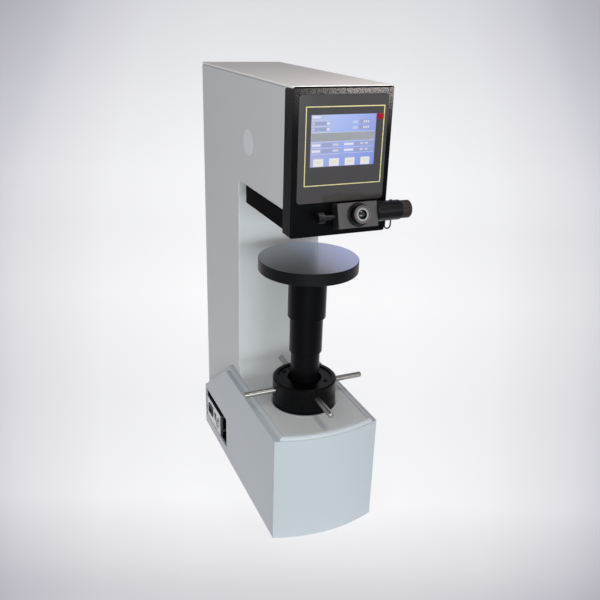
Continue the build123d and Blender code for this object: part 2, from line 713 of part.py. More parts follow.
def connector_tray():
    """Sheet box behind the recess."""
    outer = block(
        LINER_X, TRAY_BACK_X, RECESS_Y0 - TRAY_T, RECESS_Y1 + TRAY_T,
        RECESS_Z0 - TRAY_T, RECESS_Z1 + TRAY_T,
    )
    return outer - block(LINER_X, TRAY_BACK_X - TRAY_T, RECESS_Y0, RECESS_Y1, RECESS_Z0, RECESS_Z1)


def socket_cutout(y, z, w, h):
    """Hole through the socket panel's front."""
    return block(-SHROUD_HALF, -SHROUD_HALF + SOCKET_PANEL_RIM, y - w / 2, y + w / 2, z - h / 2, z + h / 2)


def connector_panel():
    """Folded metal panel on four posts, cut out for the sockets."""
    front, rim = -SHROUD_HALF, SOCKET_PANEL_RIM
    y0, y1, z0, z1 = SOCKET_PANEL_Y0, SOCKET_PANEL_Y1, SOCKET_PANEL_Z0, SOCKET_PANEL_Z1
    t = SOCKET_PANEL_T
    panel = block(front, front + rim, y0, y1, z0, z1)
    panel -= block(front + t, front + rim, y0 + t, y1 - t, z0 + t, z1 - t)
    for y in (y0 + POST_INSET, y1 - POST_INSET):
        for z in (z0 + POST_INSET, z1 - POST_INSET):
            panel += bar_x(POST_R, front + t, TRAY_BACK_X - TRAY_T, y, z)
    panel -= socket_cutout(INLET_Y, INLET_Z, INLET_W + 2 * FIT_GAP, INLET_H + 2 * FIT_GAP)
    panel -= socket_cutout(SWITCH_Y, SWITCH_Z, SWITCH_W + 2 * SEAT_GAP, SWITCH_H + 2 * SEAT_GAP)
    panel -= socket_cutout(DATA_Y, DATA_Z, DATA_W + 2 * FIT_GAP, DATA_H + 2 * FIT_GAP)
    return panel


def upright_block(x0, x1, y, z, w, h):
    """Box centred on a point of the socket panel."""
    return block(x0, x1, y - w / 2, y + w / 2, z - h / 2, z + h / 2)


def mains_inlet():
    """Appliance inlet: flange, body and open cavity."""
    face_x = -SHROUD_HALF - SOCKET_PANEL_T
    body = upright_block(face_x, face_x + INLET_DEEP, INLET_Y, INLET_Z, INLET_W, INLET_H)
    rim = 2 * INLET_FLANGE
    body += upright_block(face_x, -SHROUD_HALF, INLET_Y, INLET_Z, INLET_W + rim, INLET_H + rim)
    thin = 2 * INLET_WALL
    cavity = upright_block(face_x, face_x + INLET_CAVITY, INLET_Y, INLET_Z, INLET_W - thin, INLET_H - thin)
    return body - cavity


def data_socket():
    """Nine-way data connector with its shell standing proud."""
    body = upright_block(-SHROUD_HALF, -SHROUD_HALF + DATA_DEEP, DATA_Y, DATA_Z, DATA_W, DATA_H)
    shell = Pos(-SHROUD_HALF, DATA_Y, DATA_Z) * Rot(0, -90, 0) * extrude(
        Rectangle(DATA_H * 0.55, DATA_W * 0.7), SOCKET_PANEL_RIM / 2
    )
    return body + shell


def power_rocker():
    """Rocker with a raised half, on a pin along Y."""
    half_h = SWITCH_H / 2 - SEAT_GAP
    rise = half_h * math.tan(math.radians(ROCKER_TILT))
    x = -SHROUD_HALF
    outline = [
        (x + ROCKER_DEEP, SWITCH_Z - half_h), (x, SWITCH_Z - half_h), (x, SWITCH_Z),
        (x - rise, SWITCH_Z + half_h), (x + ROCKER_DEEP, SWITCH_Z + half_h),
    ]
    face = make_face(Polyline(*outline, close=True))
    width = SWITCH_W - 2 * SEAT_GAP
    body = extrude(Plane.XZ.offset(-(SWITCH_Y + width / 2)) * face, width)
    return body & bar_y(SWITCH_H / 2, SWITCH_Y - width, SWITCH_Y + width, x + ROCKER_PIVOT, SWITCH_Z)


def top_lid():
    """Sheet lid over head and column, with a stepped foot that leaves a dark seam."""
    plate = Plane.XY.offset(LID_BOTTOM) * Pos(0, (BEZEL_FRONT + BODY_REAR) / 2) * RectangleRounded(
        2 * BODY_HALF, BODY_REAR - BEZEL_FRONT, LID_CORNER_R
    )
    lid = extrude(plate, LID_T)
    top_edges = lid.faces().sort_by(Axis.Z)[-1].edges()
    lid = fillet(top_edges, LID_T / 4)
    inset = LID_STEP
    half = BODY_HALF - inset
    lid += block(-half, half, BEZEL_FRONT + inset, BODY_REAR - inset, BODY_TOP, LID_BOTTOM)
    lip = PIT_HALF - SEAT_GAP
    lid += block(-lip, lip, HEAD_FRONT + SEAT_GAP, BODY_REAR - CAST_WALL, BODY_TOP - LID_LIP, BODY_TOP)
    inner = lip - LID_T
    return lid - block(
        -inner, inner, HEAD_FRONT + SEAT_GAP + LID_T, BODY_REAR - CAST_WALL - LID_T,
        BODY_TOP - LID_LIP, LID_BOTTOM,
    )


def screen_frame(margin, y0, y1):
    """Upright slab round the display's window."""
    x0 = SCREEN_X - SCREEN_HALF - margin
    x1 = SCREEN_X + SCREEN_HALF + margin
    return block(x0, x1, y0, y1, SCREEN_Z0 - margin, SCREEN_Z1 + margin)


def front_bezel():
    """Deep front housing of the head, open to the rear, with windows for display and tube."""
    shell = rounded_plate(-BODY_HALF, BODY_HALF, BEZEL_BOTTOM, BODY_TOP, BEZEL_FRONT, HEAD_FRONT, BEZEL_R)
    front_edges = shell.faces().sort_by(Axis.Y)[0].edges()
    shell = fillet(front_edges, BEZEL_EDGE_R)
    wall = BEZEL_WALL
    shell -= rounded_plate(
        -BODY_HALF + wall, BODY_HALF - wall, BEZEL_BOTTOM + wall, BODY_TOP - wall,
        BEZEL_FRONT + wall, HEAD_FRONT, BEZEL_R,
    )
    shell -= rounded_plate(
        -PANEL_HALF - SEAT_GAP, PANEL_HALF + SEAT_GAP, PANEL_Z0 - SEAT_GAP, PANEL_Z1 + SEAT_GAP,
        BEZEL_FRONT, BEZEL_FRONT + PANEL_RECESS, PANEL_R,
    )
    shell -= screen_frame(MODULE_MARGIN + SEAT_GAP, BEZEL_FRONT, BEZEL_FRONT + wall)
    lens = (LENS_W / 2 - LENS_R, LENS_H / 2 - LENS_R)
    shell -= block(
        LENS_X - lens[0], LENS_X + lens[0], BEZEL_FRONT, BEZEL_FRONT + wall,
        LENS_Z - lens[1], LENS_Z + lens[1],
    )
    return shell - FACE * stack(TUBE_OUT_R + FIT_GAP, -2 * TUBE_OUT_R - BLOCK_T, -BLOCK_T)


def overlay_panel():
    """Dark panel plate in a shallow recess, with windows for display and indicator."""
    y0 = BEZEL_FRONT + PANEL_RECESS - PANEL_T
    plate = rounded_plate(
        -PANEL_HALF, PANEL_HALF, PANEL_Z0, PANEL_Z1, y0, BEZEL_FRONT + PANEL_RECESS, PANEL_R
    )
    plate -= screen_frame(FIT_GAP, y0, BEZEL_FRONT + PANEL_RECESS)
    return plate - indicator_body(FIT_GAP, y0, BEZEL_FRONT + PANEL_RECESS)


def touch_screen():
    """Display module: glass in the panel's window, body in the housing's window."""
    back = BEZEL_FRONT + PANEL_RECESS
    glass = screen_frame(0, back - PANEL_T + GLASS_RECESS, back)
    return glass + screen_frame(MODULE_MARGIN, back, back + MODULE_T)


def indicator_body(margin, y0, y1):
    """Rounded square of the indicator."""
    w, h = LENS_W / 2 + margin, LENS_H / 2 + margin
    return rounded_plate(LENS_X - w, LENS_X + w, LENS_Z - h, LENS_Z + h, y0, y1, LENS_R)


def indicator_lens():
    """Small square indicator lens standing slightly proud."""
    y0 = BEZEL_FRONT + PANEL_RECESS - PANEL_T
    lens = indicator_body(0, y0 - LENS_PROUD, BEZEL_FRONT + PANEL_RECESS)
    return fillet(lens.faces().sort_by(Axis.Y)[0].edges(), LENS_PROUD / 2)


def head_skirt():
    """Tray under the head with an opening for the turret."""
    y0 = HEAD_FRONT + SEAT_GAP
    top = HEAD_BOTTOM - SEAT_GAP
    tray = block(-SKIRT_HALF, SKIRT_HALF, y0, SKIRT_REAR, SKIRT_BOTTOM, top)
    vertical = [e for e in tray.edges().filter_by(Axis.Z) if e.center().Y > 0]
    tray = fillet(vertical, EDGE_R)
    inner = SKIRT_HALF - SKIRT_T
    tray -= block(-inner, inner, y0, SKIRT_REAR - SKIRT_T, SKIRT_BOTTOM + SKIRT_T, top)
    return tray - post(TURRET_R + SEAT_GAP * 10, SKIRT_BOTTOM, SKIRT_BOTTOM + SKIRT_T, 0, TURRET_Y)


def access_plug():
    """Round plug pressed into the head's left flank."""
    head = bar_x(PLUG_R, -BODY_HALF - PLUG_PROUD, -BODY_HALF, PLUG_Y, PLUG_Z)
    head = chamfer(head.faces().sort_by(Axis.X)[0].edges(), PLUG_PROUD / 2)
    spigot = bar_x(PLUG_SPIGOT_R, -BODY_HALF, -BODY_HALF + PLUG_DEPTH, PLUG_Y, PLUG_Z)
    return head + spigot


def cover_screw_places():
    """Places of the rear cover's screws."""
    x = (PIT_HALF + COVER_HALF) / 2
    span = COVER_Z1 - COVER_Z0 - 2 * (COVER_HALF - PIT_HALF)
    rows = [COVER_Z0 + (COVER_HALF - PIT_HALF) + span * i / 3 for i in range(4)]
    return [(side * x, z) for side in (-1, 1) for z in rows]


def rear_cover():
    """Sheet cover let into the column's rear, with two fields of louvres."""
    half = COVER_HALF - SEAT_GAP
    rear = BODY_REAR
    cover = block(-half, half, rear - COVER_T, rear, COVER_Z0 + SEAT_GAP, COVER_Z1 - SEAT_GAP)
    slot = block(-LOUVRE_W / 2, LOUVRE_W / 2, rear - COVER_T, rear, 0, LOUVRE_H)
    slots = [
        Pos(side * LOUVRE_X, 0, z + i * LOUVRE_PITCH) * slot
        for z in LOUVRE_Z for side in (-1, 1) for i in range(LOUVRE_ROWS)
    ]
    cover -= slots
    holes = [bar_y(SCREW_R + FIT_GAP, rear - COVER_T, rear, x, z) for x, z in cover_screw_places()]
    return cover - holes


def rear_cover_screws():
    """Pan-head screws of the rear cover."""
    solids = []
    for x, z in cover_screw_places():
        head = bar_y(SCREW_HEAD_R, BODY_REAR, BODY_REAR + SCREW_HEAD_H, x, z)
        head = fillet(head.faces().sort_by(Axis.Y)[-1].edges(), SCREW_HEAD_H / 2)
        solids.append(head + bar_y(SCREW_R, BODY_REAR - COVER_T - SCREW_LEN + SEAT_GAP, BODY_REAR, x, z))
    return group(solids)


def anvil_table():
    """Flat round anvil with a spigot below."""
    disc = post(TABLE_R, TABLE_BOTTOM, TABLE_TOP)
    disc = chamfer(disc.edges().filter_by(GeomType.CIRCLE), TABLE_EDGE)
    return disc + post(SPIGOT_R, TABLE_BOTTOM - SPIGOT_LEN, TABLE_BOTTOM)


def elevating_screw():
    """Screw with a keyway along its rear and a seat for the anvil's spigot."""
    screw = post(SCREW_SHAFT_R, SCREW_BOTTOM, TABLE_BOTTOM)
    screw = chamfer(screw.faces().sort_by(Axis.Z)[0].edges(), TABLE_EDGE)
    screw -= post(SPIGOT_R + RUN_GAP, TABLE_BOTTOM - SPIGOT_LEN - TABLE_EDGE, TABLE_BOTTOM)
    depth = SCREW_SHAFT_R - KEY_DEPTH
    half = KEY_W / 2 + RUN_GAP
    return screw - block(-half, half, depth, SCREW_SHAFT_R, SCREW_BOTTOM, KEYWAY_TOP)


def key_bar(margin=0.0):
    """Key that stops the screw from turning, seated in the nut boss."""
    tip = SCREW_SHAFT_R - KEY_DEPTH + SEAT_GAP
    half = KEY_W / 2 + margin
    return block(-half, half, tip, tip + KEY_LEN + margin, KEY_Z0 - margin, KEY_Z1 + margin)


def open_sleeve(r_out, z0, z1):
    """Thin tube with eased ends."""
    sleeve = tube(r_out, r_out - SLEEVE_T, z0, z1)
    rims = [e for e in sleeve.edges().filter_by(GeomType.CIRCLE) if e.radius > r_out - SLEEVE_T / 2]
    return chamfer(rims, SLEEVE_CHAMFER)


def top_sleeve():
    """Upper sleeve, hung from the anvil by an inner flange."""
    inner = SLEEVE_MID_R + SLEEVE_PLAY
    sleeve = tube(SLEEVE_TOP_R, inner, SLEEVE_TOP_Z0, TABLE_BOTTOM)
    rim = [e for e in sleeve.faces().sort_by(Axis.Z)[0].edges() if e.radius > inner + FIT_GAP]
    sleeve = chamfer(rim, SLEEVE_CHAMFER)
    return sleeve + tube(inner, SCREW_SHAFT_R + FIT_GAP, TABLE_BOTTOM - SLEEVE_FLANGE_T, TABLE_BOTTOM)


def middle_sleeve():
    """Middle sleeve of the telescope."""
    return open_sleeve(SLEEVE_MID_R, SLEEVE_MID_Z0, SLEEVE_MID_Z1)


def lower_sleeve():
    """Lower sleeve, seated in the hub's well."""
    return open_sleeve(SLEEVE_LOW_R, WELL_Z, SLEEVE_LOW_Z1)


def hub_screw_places():
    """Centres of the hub's four screws, between its rods."""
    return [
        (HUB_SCREW_PCR * math.cos(math.radians(a)), HUB_SCREW_PCR * math.sin(math.radians(a)))
        for a in (45, 135, 225, 315)
    ]


def handwheel_hub():
    """Thick hub with a dished top, a well for the sleeves and four radial rod holes."""
    hub = post(HUB_R, HUB_BOTTOM, HUB_TOP)
    hub = chamfer(hub.edges().filter_by(GeomType.CIRCLE), HUB_CHAMFER)
    hub -= post(HUB_DISH_R, HUB_TOP - HUB_DISH, HUB_TOP)
    hub -= post(WELL_R, WELL_Z, HUB_TOP)
    hub -= post(HUB_BORE_R, HUB_BOTTOM, WELL_Z)
    hub -= post(NUT_FLANGE_R + FIT_GAP, HUB_BOTTOM, HUB_BOTTOM + NUT_FLANGE_T)
    for angle in range(0, 360, 90):
        hub -= Rot(0, 0, angle) * bar_x(ROD_R + FIT_GAP, ROD_ROOT, HUB_R, 0, ROD_Z)
    head_z = HUB_TOP - HUB_DISH - HUB_SCREW_SINK - HUB_SCREW_HEAD_H
    for x, y in hub_screw_places():
        hub -= post(HUB_SCREW_HEAD_R + FIT_GAP, head_z, HUB_TOP, x, y)
        hub -= post(HUB_SCREW_R + FIT_GAP, HUB_BOTTOM, head_z, x, y)
    return hub


def hub_screws():
    """Socket-head screws that hold the hub on the nut."""
    head_z = HUB_TOP - HUB_DISH - HUB_SCREW_SINK - HUB_SCREW_HEAD_H
    solids = []
    for x, y in hub_screw_places():
        screw = post(HUB_SCREW_HEAD_R, head_z, head_z + HUB_SCREW_HEAD_H, x, y)
        screw += post(HUB_SCREW_R, HUB_BOTTOM + SEAT_GAP, head_z, x, y)
        hexagon = extrude(RegularPolygon(HUB_SCREW_R * 0.85, 6), HUB_SCREW_HEAD_H / 2)
        solids.append(screw - Pos(x, y, head_z + HUB_SCREW_HEAD_H / 2) * hexagon)
    return group(solids)


def handwheel_rods():
    """Four turning rods with domed ends."""
    rod = bar_x(ROD_R, ROD_ROOT + SEAT_GAP, ROD_TIP, 0, ROD_Z)
    rod = fillet(rod.faces().sort_by(Axis.X)[-1].edges(), ROD_R * 0.7)
    return group([Rot(0, 0, angle) * rod for angle in range(0, 360, 90)])


def lead_nut():
    """Nut that turns with the hub and runs on the screw."""
    nut = post(NUT_R, NUT_BOTTOM, HUB_BOTTOM)
    nut += post(NUT_FLANGE_R, HUB_BOTTOM, HUB_BOTTOM + NUT_FLANGE_T)
    nut -= post(SCREW_SHAFT_R + RUN_GAP, NUT_BOTTOM, HUB_BOTTOM + NUT_FLANGE_T)
    for x, y in hub_screw_places():
        nut -= post(HUB_SCREW_R + FIT_GAP, HUB_BOTTOM, HUB_BOTTOM + NUT_FLANGE_T, x, y)
    return nut


def thrust_race():
    """Bare steel ring between deck and hub."""
    return tube(RACE_R, NUT_R + SEAT_GAP, DECK_TOP, DECK_TOP + RACE_T)


def spindle_bush():
    """Bush in the head's floor that guides the spindle."""
    return tube(BUSH_R, SPINDLE_R + RUN_GAP, HEAD_BOTTOM, ARM_FLOOR + SPINDLE_BOSS_H)


def main_spindle():
    """Spindle that pushes on the indenter's shank."""
    spindle = post(SPINDLE_R, SPINDLE_BOTTOM, CELL_Z)
    return chamfer(spindle.faces().sort_by(Axis.Z)[0].edges(), TABLE_EDGE)


def load_cell():
    """Round load cell with two necks."""
    third = CELL_T / 4
    cell = post(CELL_R, CELL_Z + third, CROSSHEAD_Z - third)
    return cell + post(CELL_NECK_R, CELL_Z, CROSSHEAD_Z)


def crosshead():
    """Crosshead that slides on the guide rods."""
    half_x, half_y = CROSSHEAD_HALF_X, CROSSHEAD_HALF_Y
    head = block(-half_x, half_x, -half_y, half_y, CROSSHEAD_Z, BALL_NUT_Z)
    head = chamfer(head.edges().filter_by(Axis.Z), EDGE_R)
    head -= post(BALL_SCREW_CLEAR_R, CROSSHEAD_Z, BALL_NUT_Z)
    for side in (-1, 1):
        head -= post(GUIDE_R + RUN_GAP, CROSSHEAD_Z, BALL_NUT_Z, side * GUIDE_X)
    return head


def guide_rods():
    """Two rods between the head's floor and the bridge."""
    bottom = ARM_FLOOR - GUIDE_SINK
    return group([post(GUIDE_R, bottom, BRIDGE_TOP, side * GUIDE_X) for side in (-1, 1)])


def ball_nut():
    """Flanged ball nut on the crosshead."""
    nut = post(BALL_NUT_FLANGE_R, BALL_NUT_Z, BALL_NUT_Z + BALL_NUT_FLANGE_T)
    nut += post(BALL_NUT_R, BALL_NUT_Z, BALL_NUT_Z + BALL_NUT_T)
    return nut - post(BALL_SCREW_R + RUN_GAP, BALL_NUT_Z, BALL_NUT_Z + BALL_NUT_T)


def ball_screw():
    """Ball screw with a collar above its bearing."""
    screw = post(BALL_SCREW_R, CROSSHEAD_Z + BALL_NUT_FLANGE_T, PULLEY_Z + PULLEY_T)
    return screw + post(COLLAR_R, BRIDGE_TOP + SEAT_GAP, PULLEY_Z)


def screw_bearing():
    """Bearing of the ball screw in the bridge."""
    low = BRIDGE_Z + (BRIDGE_T - BEARING_T) / 2
    return tube(BEARING_R, BALL_SCREW_R + RUN_GAP, low, low + BEARING_T)


def bearing_bridge():
    """Plate on the head's ledges that carries bearing, guide rods and motor."""
    half = PIT_HALF - SEAT_GAP
    bridge = block(-half, half, BRIDGE_FRONT, BRIDGE_REAR, BRIDGE_Z, BRIDGE_TOP)
    bridge -= post(BEARING_R + FIT_GAP, BRIDGE_Z, BRIDGE_TOP)
    bridge -= post(MOTOR_PILOT_R + FIT_GAP, BRIDGE_Z, BRIDGE_TOP, 0, MOTOR_Y)
    for side in (-1, 1):
        bridge -= post(GUIDE_R + FIT_GAP, BRIDGE_Z, BRIDGE_TOP, side * GUIDE_X)
    return bridge


def load_motor():
    """Geared motor hung from the bridge."""
    motor = post(MOTOR_R, BRIDGE_Z - MOTOR_L, BRIDGE_Z, 0, MOTOR_Y)
    motor = chamfer(motor.faces().sort_by(Axis.Z)[0].edges(), EDGE_R)
    return motor + post(MOTOR_PILOT_R, BRIDGE_Z, BRIDGE_Z + MOTOR_PILOT_T, 0, MOTOR_Y)


def motor_pulley():
    """Motor shaft with its toothed pulley."""
    pulley = post(MOTOR_PULLEY_R, PULLEY_Z, PULLEY_Z + PULLEY_T, 0, MOTOR_Y)
    return pulley + post(MOTOR_SHAFT_R, BRIDGE_Z + MOTOR_PILOT_T + SEAT_GAP, PULLEY_Z, 0, MOTOR_Y)


def screw_pulley():
    """Large toothed pulley on the ball screw."""
    return tube(SCREW_PULLEY_R, BALL_SCREW_R + FIT_GAP, PULLEY_Z, PULLEY_Z + PULLEY_T)


def belt_outline(margin):
    """Outline round both pulleys at a distance from their rims."""
    big, small = SCREW_PULLEY_R + margin, MOTOR_PULLEY_R + margin
    lean = math.asin((big - small) / MOTOR_Y)
    across, along = math.cos(lean), math.sin(lean)
    corners = [
        (big * across, big * along),
        (small * across, MOTOR_Y + small * along),
        (-small * across, MOTOR_Y + small * along),
        (-big * across, big * along),
    ]
    return Circle(big) + Pos(0, MOTOR_Y) * Circle(small) + make_face(Polyline(*corners, close=True))


def timing_belt():
    """Toothed belt round both pulleys."""
    ring = belt_outline(SEAT_GAP + BELT_T) - belt_outline(SEAT_GAP)
    return Pos(0, 0, PULLEY_Z + (PULLEY_T - BELT_W) / 2) * extrude(ring, BELT_W)


def turret_disc():
    """Turret plate with indenter bore and spring well."""
    disc = post(TURRET_R, TURRET_Z0, TURRET_Z1, 0, TURRET_Y)
    disc = chamfer(disc.edges().filter_by(GeomType.CIRCLE), TURRET_EDGE)
    disc -= post(PIVOT_R + RUN_GAP, TURRET_Z0, TURRET_Z1, 0, TURRET_Y)
    disc -= post(SHANK_R + RUN_GAP, TURRET_Z0, TURRET_Z1)
    return disc - post(SPRING_WELL_R, SPRING_WELL_Z, TURRET_Z1)


def turret_pivot():
    """Shoulder bolt that the turret turns on."""
    pivot = post(PIVOT_R, TURRET_Z0 - SEAT_GAP, ARM_FLOOR, 0, TURRET_Y)
    low = TURRET_Z0 - SEAT_GAP
    pivot += post(PIVOT_HEAD_R, low - PIVOT_HEAD_T, low, 0, TURRET_Y)
    pivot += post(PIVOT_HEAD_R, TURRET_Z1 + SEAT_GAP, HEAD_BOTTOM, 0, TURRET_Y)
    return pivot + post(PIVOT_NUT_R, ARM_FLOOR, ARM_FLOOR + PIVOT_NUT_T, 0, TURRET_Y)


def indenter_holder():
    """Shank, collar and nose that carry the ball."""
    collar_top = TURRET_Z0 - SEAT_GAP
    head_top = SPINDLE_BOTTOM - SEAT_GAP
    outline = [
        (0, NOSE_Z), (NOSE_R, NOSE_Z), (HOLDER_R, CONE_Z), (HOLDER_R, collar_top), (SHANK_R, collar_top),
        (SHANK_R, head_top - SHANK_HEAD_T), (SHANK_HEAD_R, head_top - SHANK_HEAD_T),
        (SHANK_HEAD_R, head_top), (0, head_top),
    ]
    holder = revolve(Plane.XZ * make_face(Polyline(*outline, close=True)), Axis.Z)
    return holder - Pos(0, 0, TIP_Z + BALL_R) * Sphere(BALL_R + FIT_GAP)


def indenter_ball():
    """Hard ball at the indenter's tip."""
    return Pos(0, 0, TIP_Z + BALL_R) * Sphere(BALL_R)


def return_spring():
    """Spring that lifts the indenter back."""
    low = SPRING_WELL_Z + SPRING_WIRE_R
    high = SPINDLE_BOTTOM - SEAT_GAP - SHANK_HEAD_T - SPRING_WIRE_R
    path = Helix((high - low) / SPRING_TURNS, high - low, SPRING_R)
    section = Plane(path @ 0, z_dir=path % 0) * Circle(SPRING_WIRE_R)
    return Pos(0, 0, low) * sweep(section, path)


def objective():
    """Prism block under the turret with the objective below it."""
    angle = math.radians(STATION_ANGLE)
    x, y = TURRET_Y * math.sin(angle), TURRET_Y * (1 - math.cos(angle))
    half = PRISM_BOX / 2
    body = block(-half, half, -half, half, OBJECTIVE_SPLIT, TURRET_Z0)
    body = chamfer(body.edges().filter_by(Axis.Z), EDGE_R)
    body += post(OBJECTIVE_R, OBJECTIVE_Z + TURRET_EDGE, OBJECTIVE_SPLIT)
    body += post(OBJECTIVE_TIP_R, OBJECTIVE_Z, OBJECTIVE_Z + TURRET_EDGE)
    return Pos(x, y, 0) * Rot(0, 0, STATION_ANGLE) * body


def prism_housing():
    """Prism box under the head's floor, between objective and eyepiece tube."""
    top = HEAD_BOTTOM
    box = block(
        PRISM_HOUSE_X0, PRISM_HOUSE_X1, HEAD_FRONT + SEAT_GAP, PRISM_HOUSE_Y1, top - PRISM_HOUSE_H, top
    )
    return chamfer(box.edges().filter_by(Axis.Z), EDGE_R)


def microscope_tube():
    """Tube from the micrometer block into the head."""
    depth = (TUBE_END_Y - FACE_Y) / math.cos(math.radians(FACE_LEAN))
    collar_end = (BEZEL_FRONT + BEZEL_WALL - FACE_Y) / math.cos(math.radians(FACE_LEAN))
    body = stack(TUBE_OUT_R, -collar_end - TUBE_OUT_R / 2, -BLOCK_T)
    body += stack(TUBE_IN_R, -depth, -BLOCK_T)
    return FACE * (body - stack(TUBE_BORE_R, -depth, -BLOCK_T))


def micrometer_block():
    """Block that leans back, with a slot for the eyepiece and bores for both spindles."""
    body = Pos(0, 0, -BLOCK_T / 2) * Box(BLOCK_W, BLOCK_H, BLOCK_T)
    body = chamfer(body.edges(), BLOCK_EDGE)
    slot_w = 2 * (EYE_TAIL_R + EYE_SLOT_TRAVEL + SEAT_GAP)
    slot_h = 2 * (EYE_TAIL_R + SEAT_GAP)
    body -= Pos(0, 0, -BLOCK_T / 2) * Box(slot_w, slot_h, BLOCK_T)
    body = FACE * body
    seat = DRUM_SHAFT_SEAT
    body -= bar_x(DRUM_SHAFT_R + RUN_GAP, FACE_RIGHT - seat - SEAT_GAP, FACE_RIGHT, SLEEVE_Y, DRUM_Z)
    return body - bar_x(KNOB_SHAFT_R + RUN_GAP, FACE_LEFT, FACE_LEFT + seat + SEAT_GAP, SLEEVE_Y, KNOB_Z)


def eyepiece_barrel():
    """Eyepiece: flange on the block's face, core with a lens seat, tail in the slot."""
    body = stack(EYE_FLANGE_R, SEAT_GAP, SEAT_GAP + EYE_FLANGE_T)
    body = chamfer(body.faces().sort_by(Axis.Z)[-1].edges(), TABLE_EDGE)
    body += stack(EYE_CORE_R, SEAT_GAP, EYE_FRONT - DIOPTRE_LIP_T - SEAT_GAP)
    body += stack(EYE_TAIL_R, -EYE_TAIL_L, SEAT_GAP)
    body -= stack(LENS_GLASS_R + FIT_GAP, EYE_FRONT - DIOPTRE_LIP_T - SEAT_GAP - LENS_GLASS_T, EYE_FRONT)
    return FACE * body


def eyepiece_lens():
    """Eye lens."""
    front = EYE_FRONT - DIOPTRE_LIP_T - SEAT_GAP
    return FACE * stack(LENS_GLASS_R, front - LENS_GLASS_T, front)


def dioptre_ring():
    """Turning ring round the eyepiece's front."""
    body = stack(DIOPTRE_R, DIOPTRE_BACK, EYE_FRONT)
    body = chamfer(body.faces().sort_by(Axis.Z)[-1].edges(), TABLE_EDGE)
    body -= stack(EYE_CORE_R + RUN_GAP, DIOPTRE_BACK, EYE_FRONT - DIOPTRE_LIP_T)
    return FACE * (body - stack(DIOPTRE_LIP, DIOPTRE_BACK, EYE_FRONT))


def micrometer_sleeve():
    """Fixed sleeve on the block's right side, with a small stop screw on top."""
    x0 = FACE_RIGHT
    body = bar_x(DRUM_SLEEVE_R, x0, x0 + DRUM_SLEEVE_L, SLEEVE_Y, DRUM_Z)
    body = chamfer(body.edges().filter_by(GeomType.CIRCLE), TABLE_EDGE)
    top = DRUM_Z + DRUM_SLEEVE_R
    body += post(NUB_R, top - NUB_H, top + NUB_H, NUB_X, SLEEVE_Y)
    return body - bar_x(DRUM_SHAFT_R + RUN_GAP, x0, x0 + DRUM_SLEEVE_L, SLEEVE_Y, DRUM_Z)


def fluted_drum(r, x0, x1, y, z, count):
    """Round grip with flutes round its rim."""
    drum = bar_x(r, x0, x1, y, z)
    drum = chamfer(drum.edges().filter_by(GeomType.CIRCLE), DRUM_FLUTE_R)
    step = 2 * math.pi / count
    flutes = [
        bar_x(DRUM_FLUTE_R, x0, x1, y + r * math.cos(i * step), z + r * math.sin(i * step))
        for i in range(count)
    ]
    return drum - flutes


def micrometer_drum():
    """Fluted drum on its spindle."""
    drum = fluted_drum(DRUM_R, DRUM_X0, DRUM_X0 + DRUM_L, SLEEVE_Y, DRUM_Z, DRUM_FLUTES)
    return drum + bar_x(DRUM_SHAFT_R, FACE_RIGHT - DRUM_SHAFT_SEAT, DRUM_X0, SLEEVE_Y, DRUM_Z)


def reticle_knob():
    """Fluted knob on a thin shaft with a collar."""
    knob = fluted_drum(KNOB_R, KNOB_X0, KNOB_X1, SLEEVE_Y, KNOB_Z, KNOB_FLUTES)
    knob += bar_x(KNOB_SHAFT_R, KNOB_X1, FACE_LEFT + DRUM_SHAFT_SEAT, SLEEVE_Y, KNOB_Z)
    collar_end = FACE_LEFT - SEAT_GAP
    return knob + bar_x(KNOB_COLLAR_R, collar_end - KNOB_COLLAR_L, collar_end, SLEEVE_Y, KNOB_Z)


def hanging_ring():
    """Wire loop hung under the fixed sleeve."""
    top = DRUM_Z - DRUM_SLEEVE_R - FIT_GAP
    turn = RING_BOTTOM + RING_R + RING_WIRE_R
    loop = Line((-RING_R, top), (-RING_R, turn))
    loop += ThreePointArc((-RING_R, turn), (0, turn - RING_R), (RING_R, turn))
    loop += Line((RING_R, turn), (RING_R, top))
    path = Plane((RING_X, SLEEVE_Y, 0), x_dir=(1, 0, 0), z_dir=(0, -1, 0)) * loop
    section = Plane((RING_X - RING_R, SLEEVE_Y, top), z_dir=(0, 0, -1)) * Circle(RING_WIRE_R)
    return sweep(section, path)


def control_board():
    """Circuit board on four standoffs in the column."""
    wall = COLUMN_FRONT + CAST_WALL
    half = BOARD_W / 2
    board = block(-half, half, wall + STANDOFF_L, wall + STANDOFF_L + BOARD_T, BOARD_Z0, BOARD_Z1)
    for x in (-half + POST_INSET, half - POST_INSET):
        for z in (BOARD_Z0 + POST_INSET, BOARD_Z1 - POST_INSET):
            board += bar_y(STANDOFF_R, wall, wall + STANDOFF_L, x, z)
    face = wall + STANDOFF_L + BOARD_T
    chip_z = BOARD_Z0 + CHIP_RISE
    board += block(-half / 2, CHIP_SIDE - half / 2, face, face + CHIP_T, chip_z, chip_z + CHIP_SIDE)
    strip_z = BOARD_Z0 + STRIP_RISE
    end = half - STRIP_INSET
    return board + block(-end, end, face, face + STRIP_T, strip_z, strip_z + STRIP_H)


def power_supply():
    """Enclosed power supply on the column's front wall."""
    wall = COLUMN_FRONT + CAST_WALL
    half = SUPPLY_W / 2
    supply = block(-half, half, wall, wall + SUPPLY_T, SUPPLY_Z0, SUPPLY_Z1)
    return chamfer(supply.edges().filter_by(Axis.Z), TABLE_EDGE)


def screw_key():
    """Sunk key in the nut boss."""
    return key_bar()


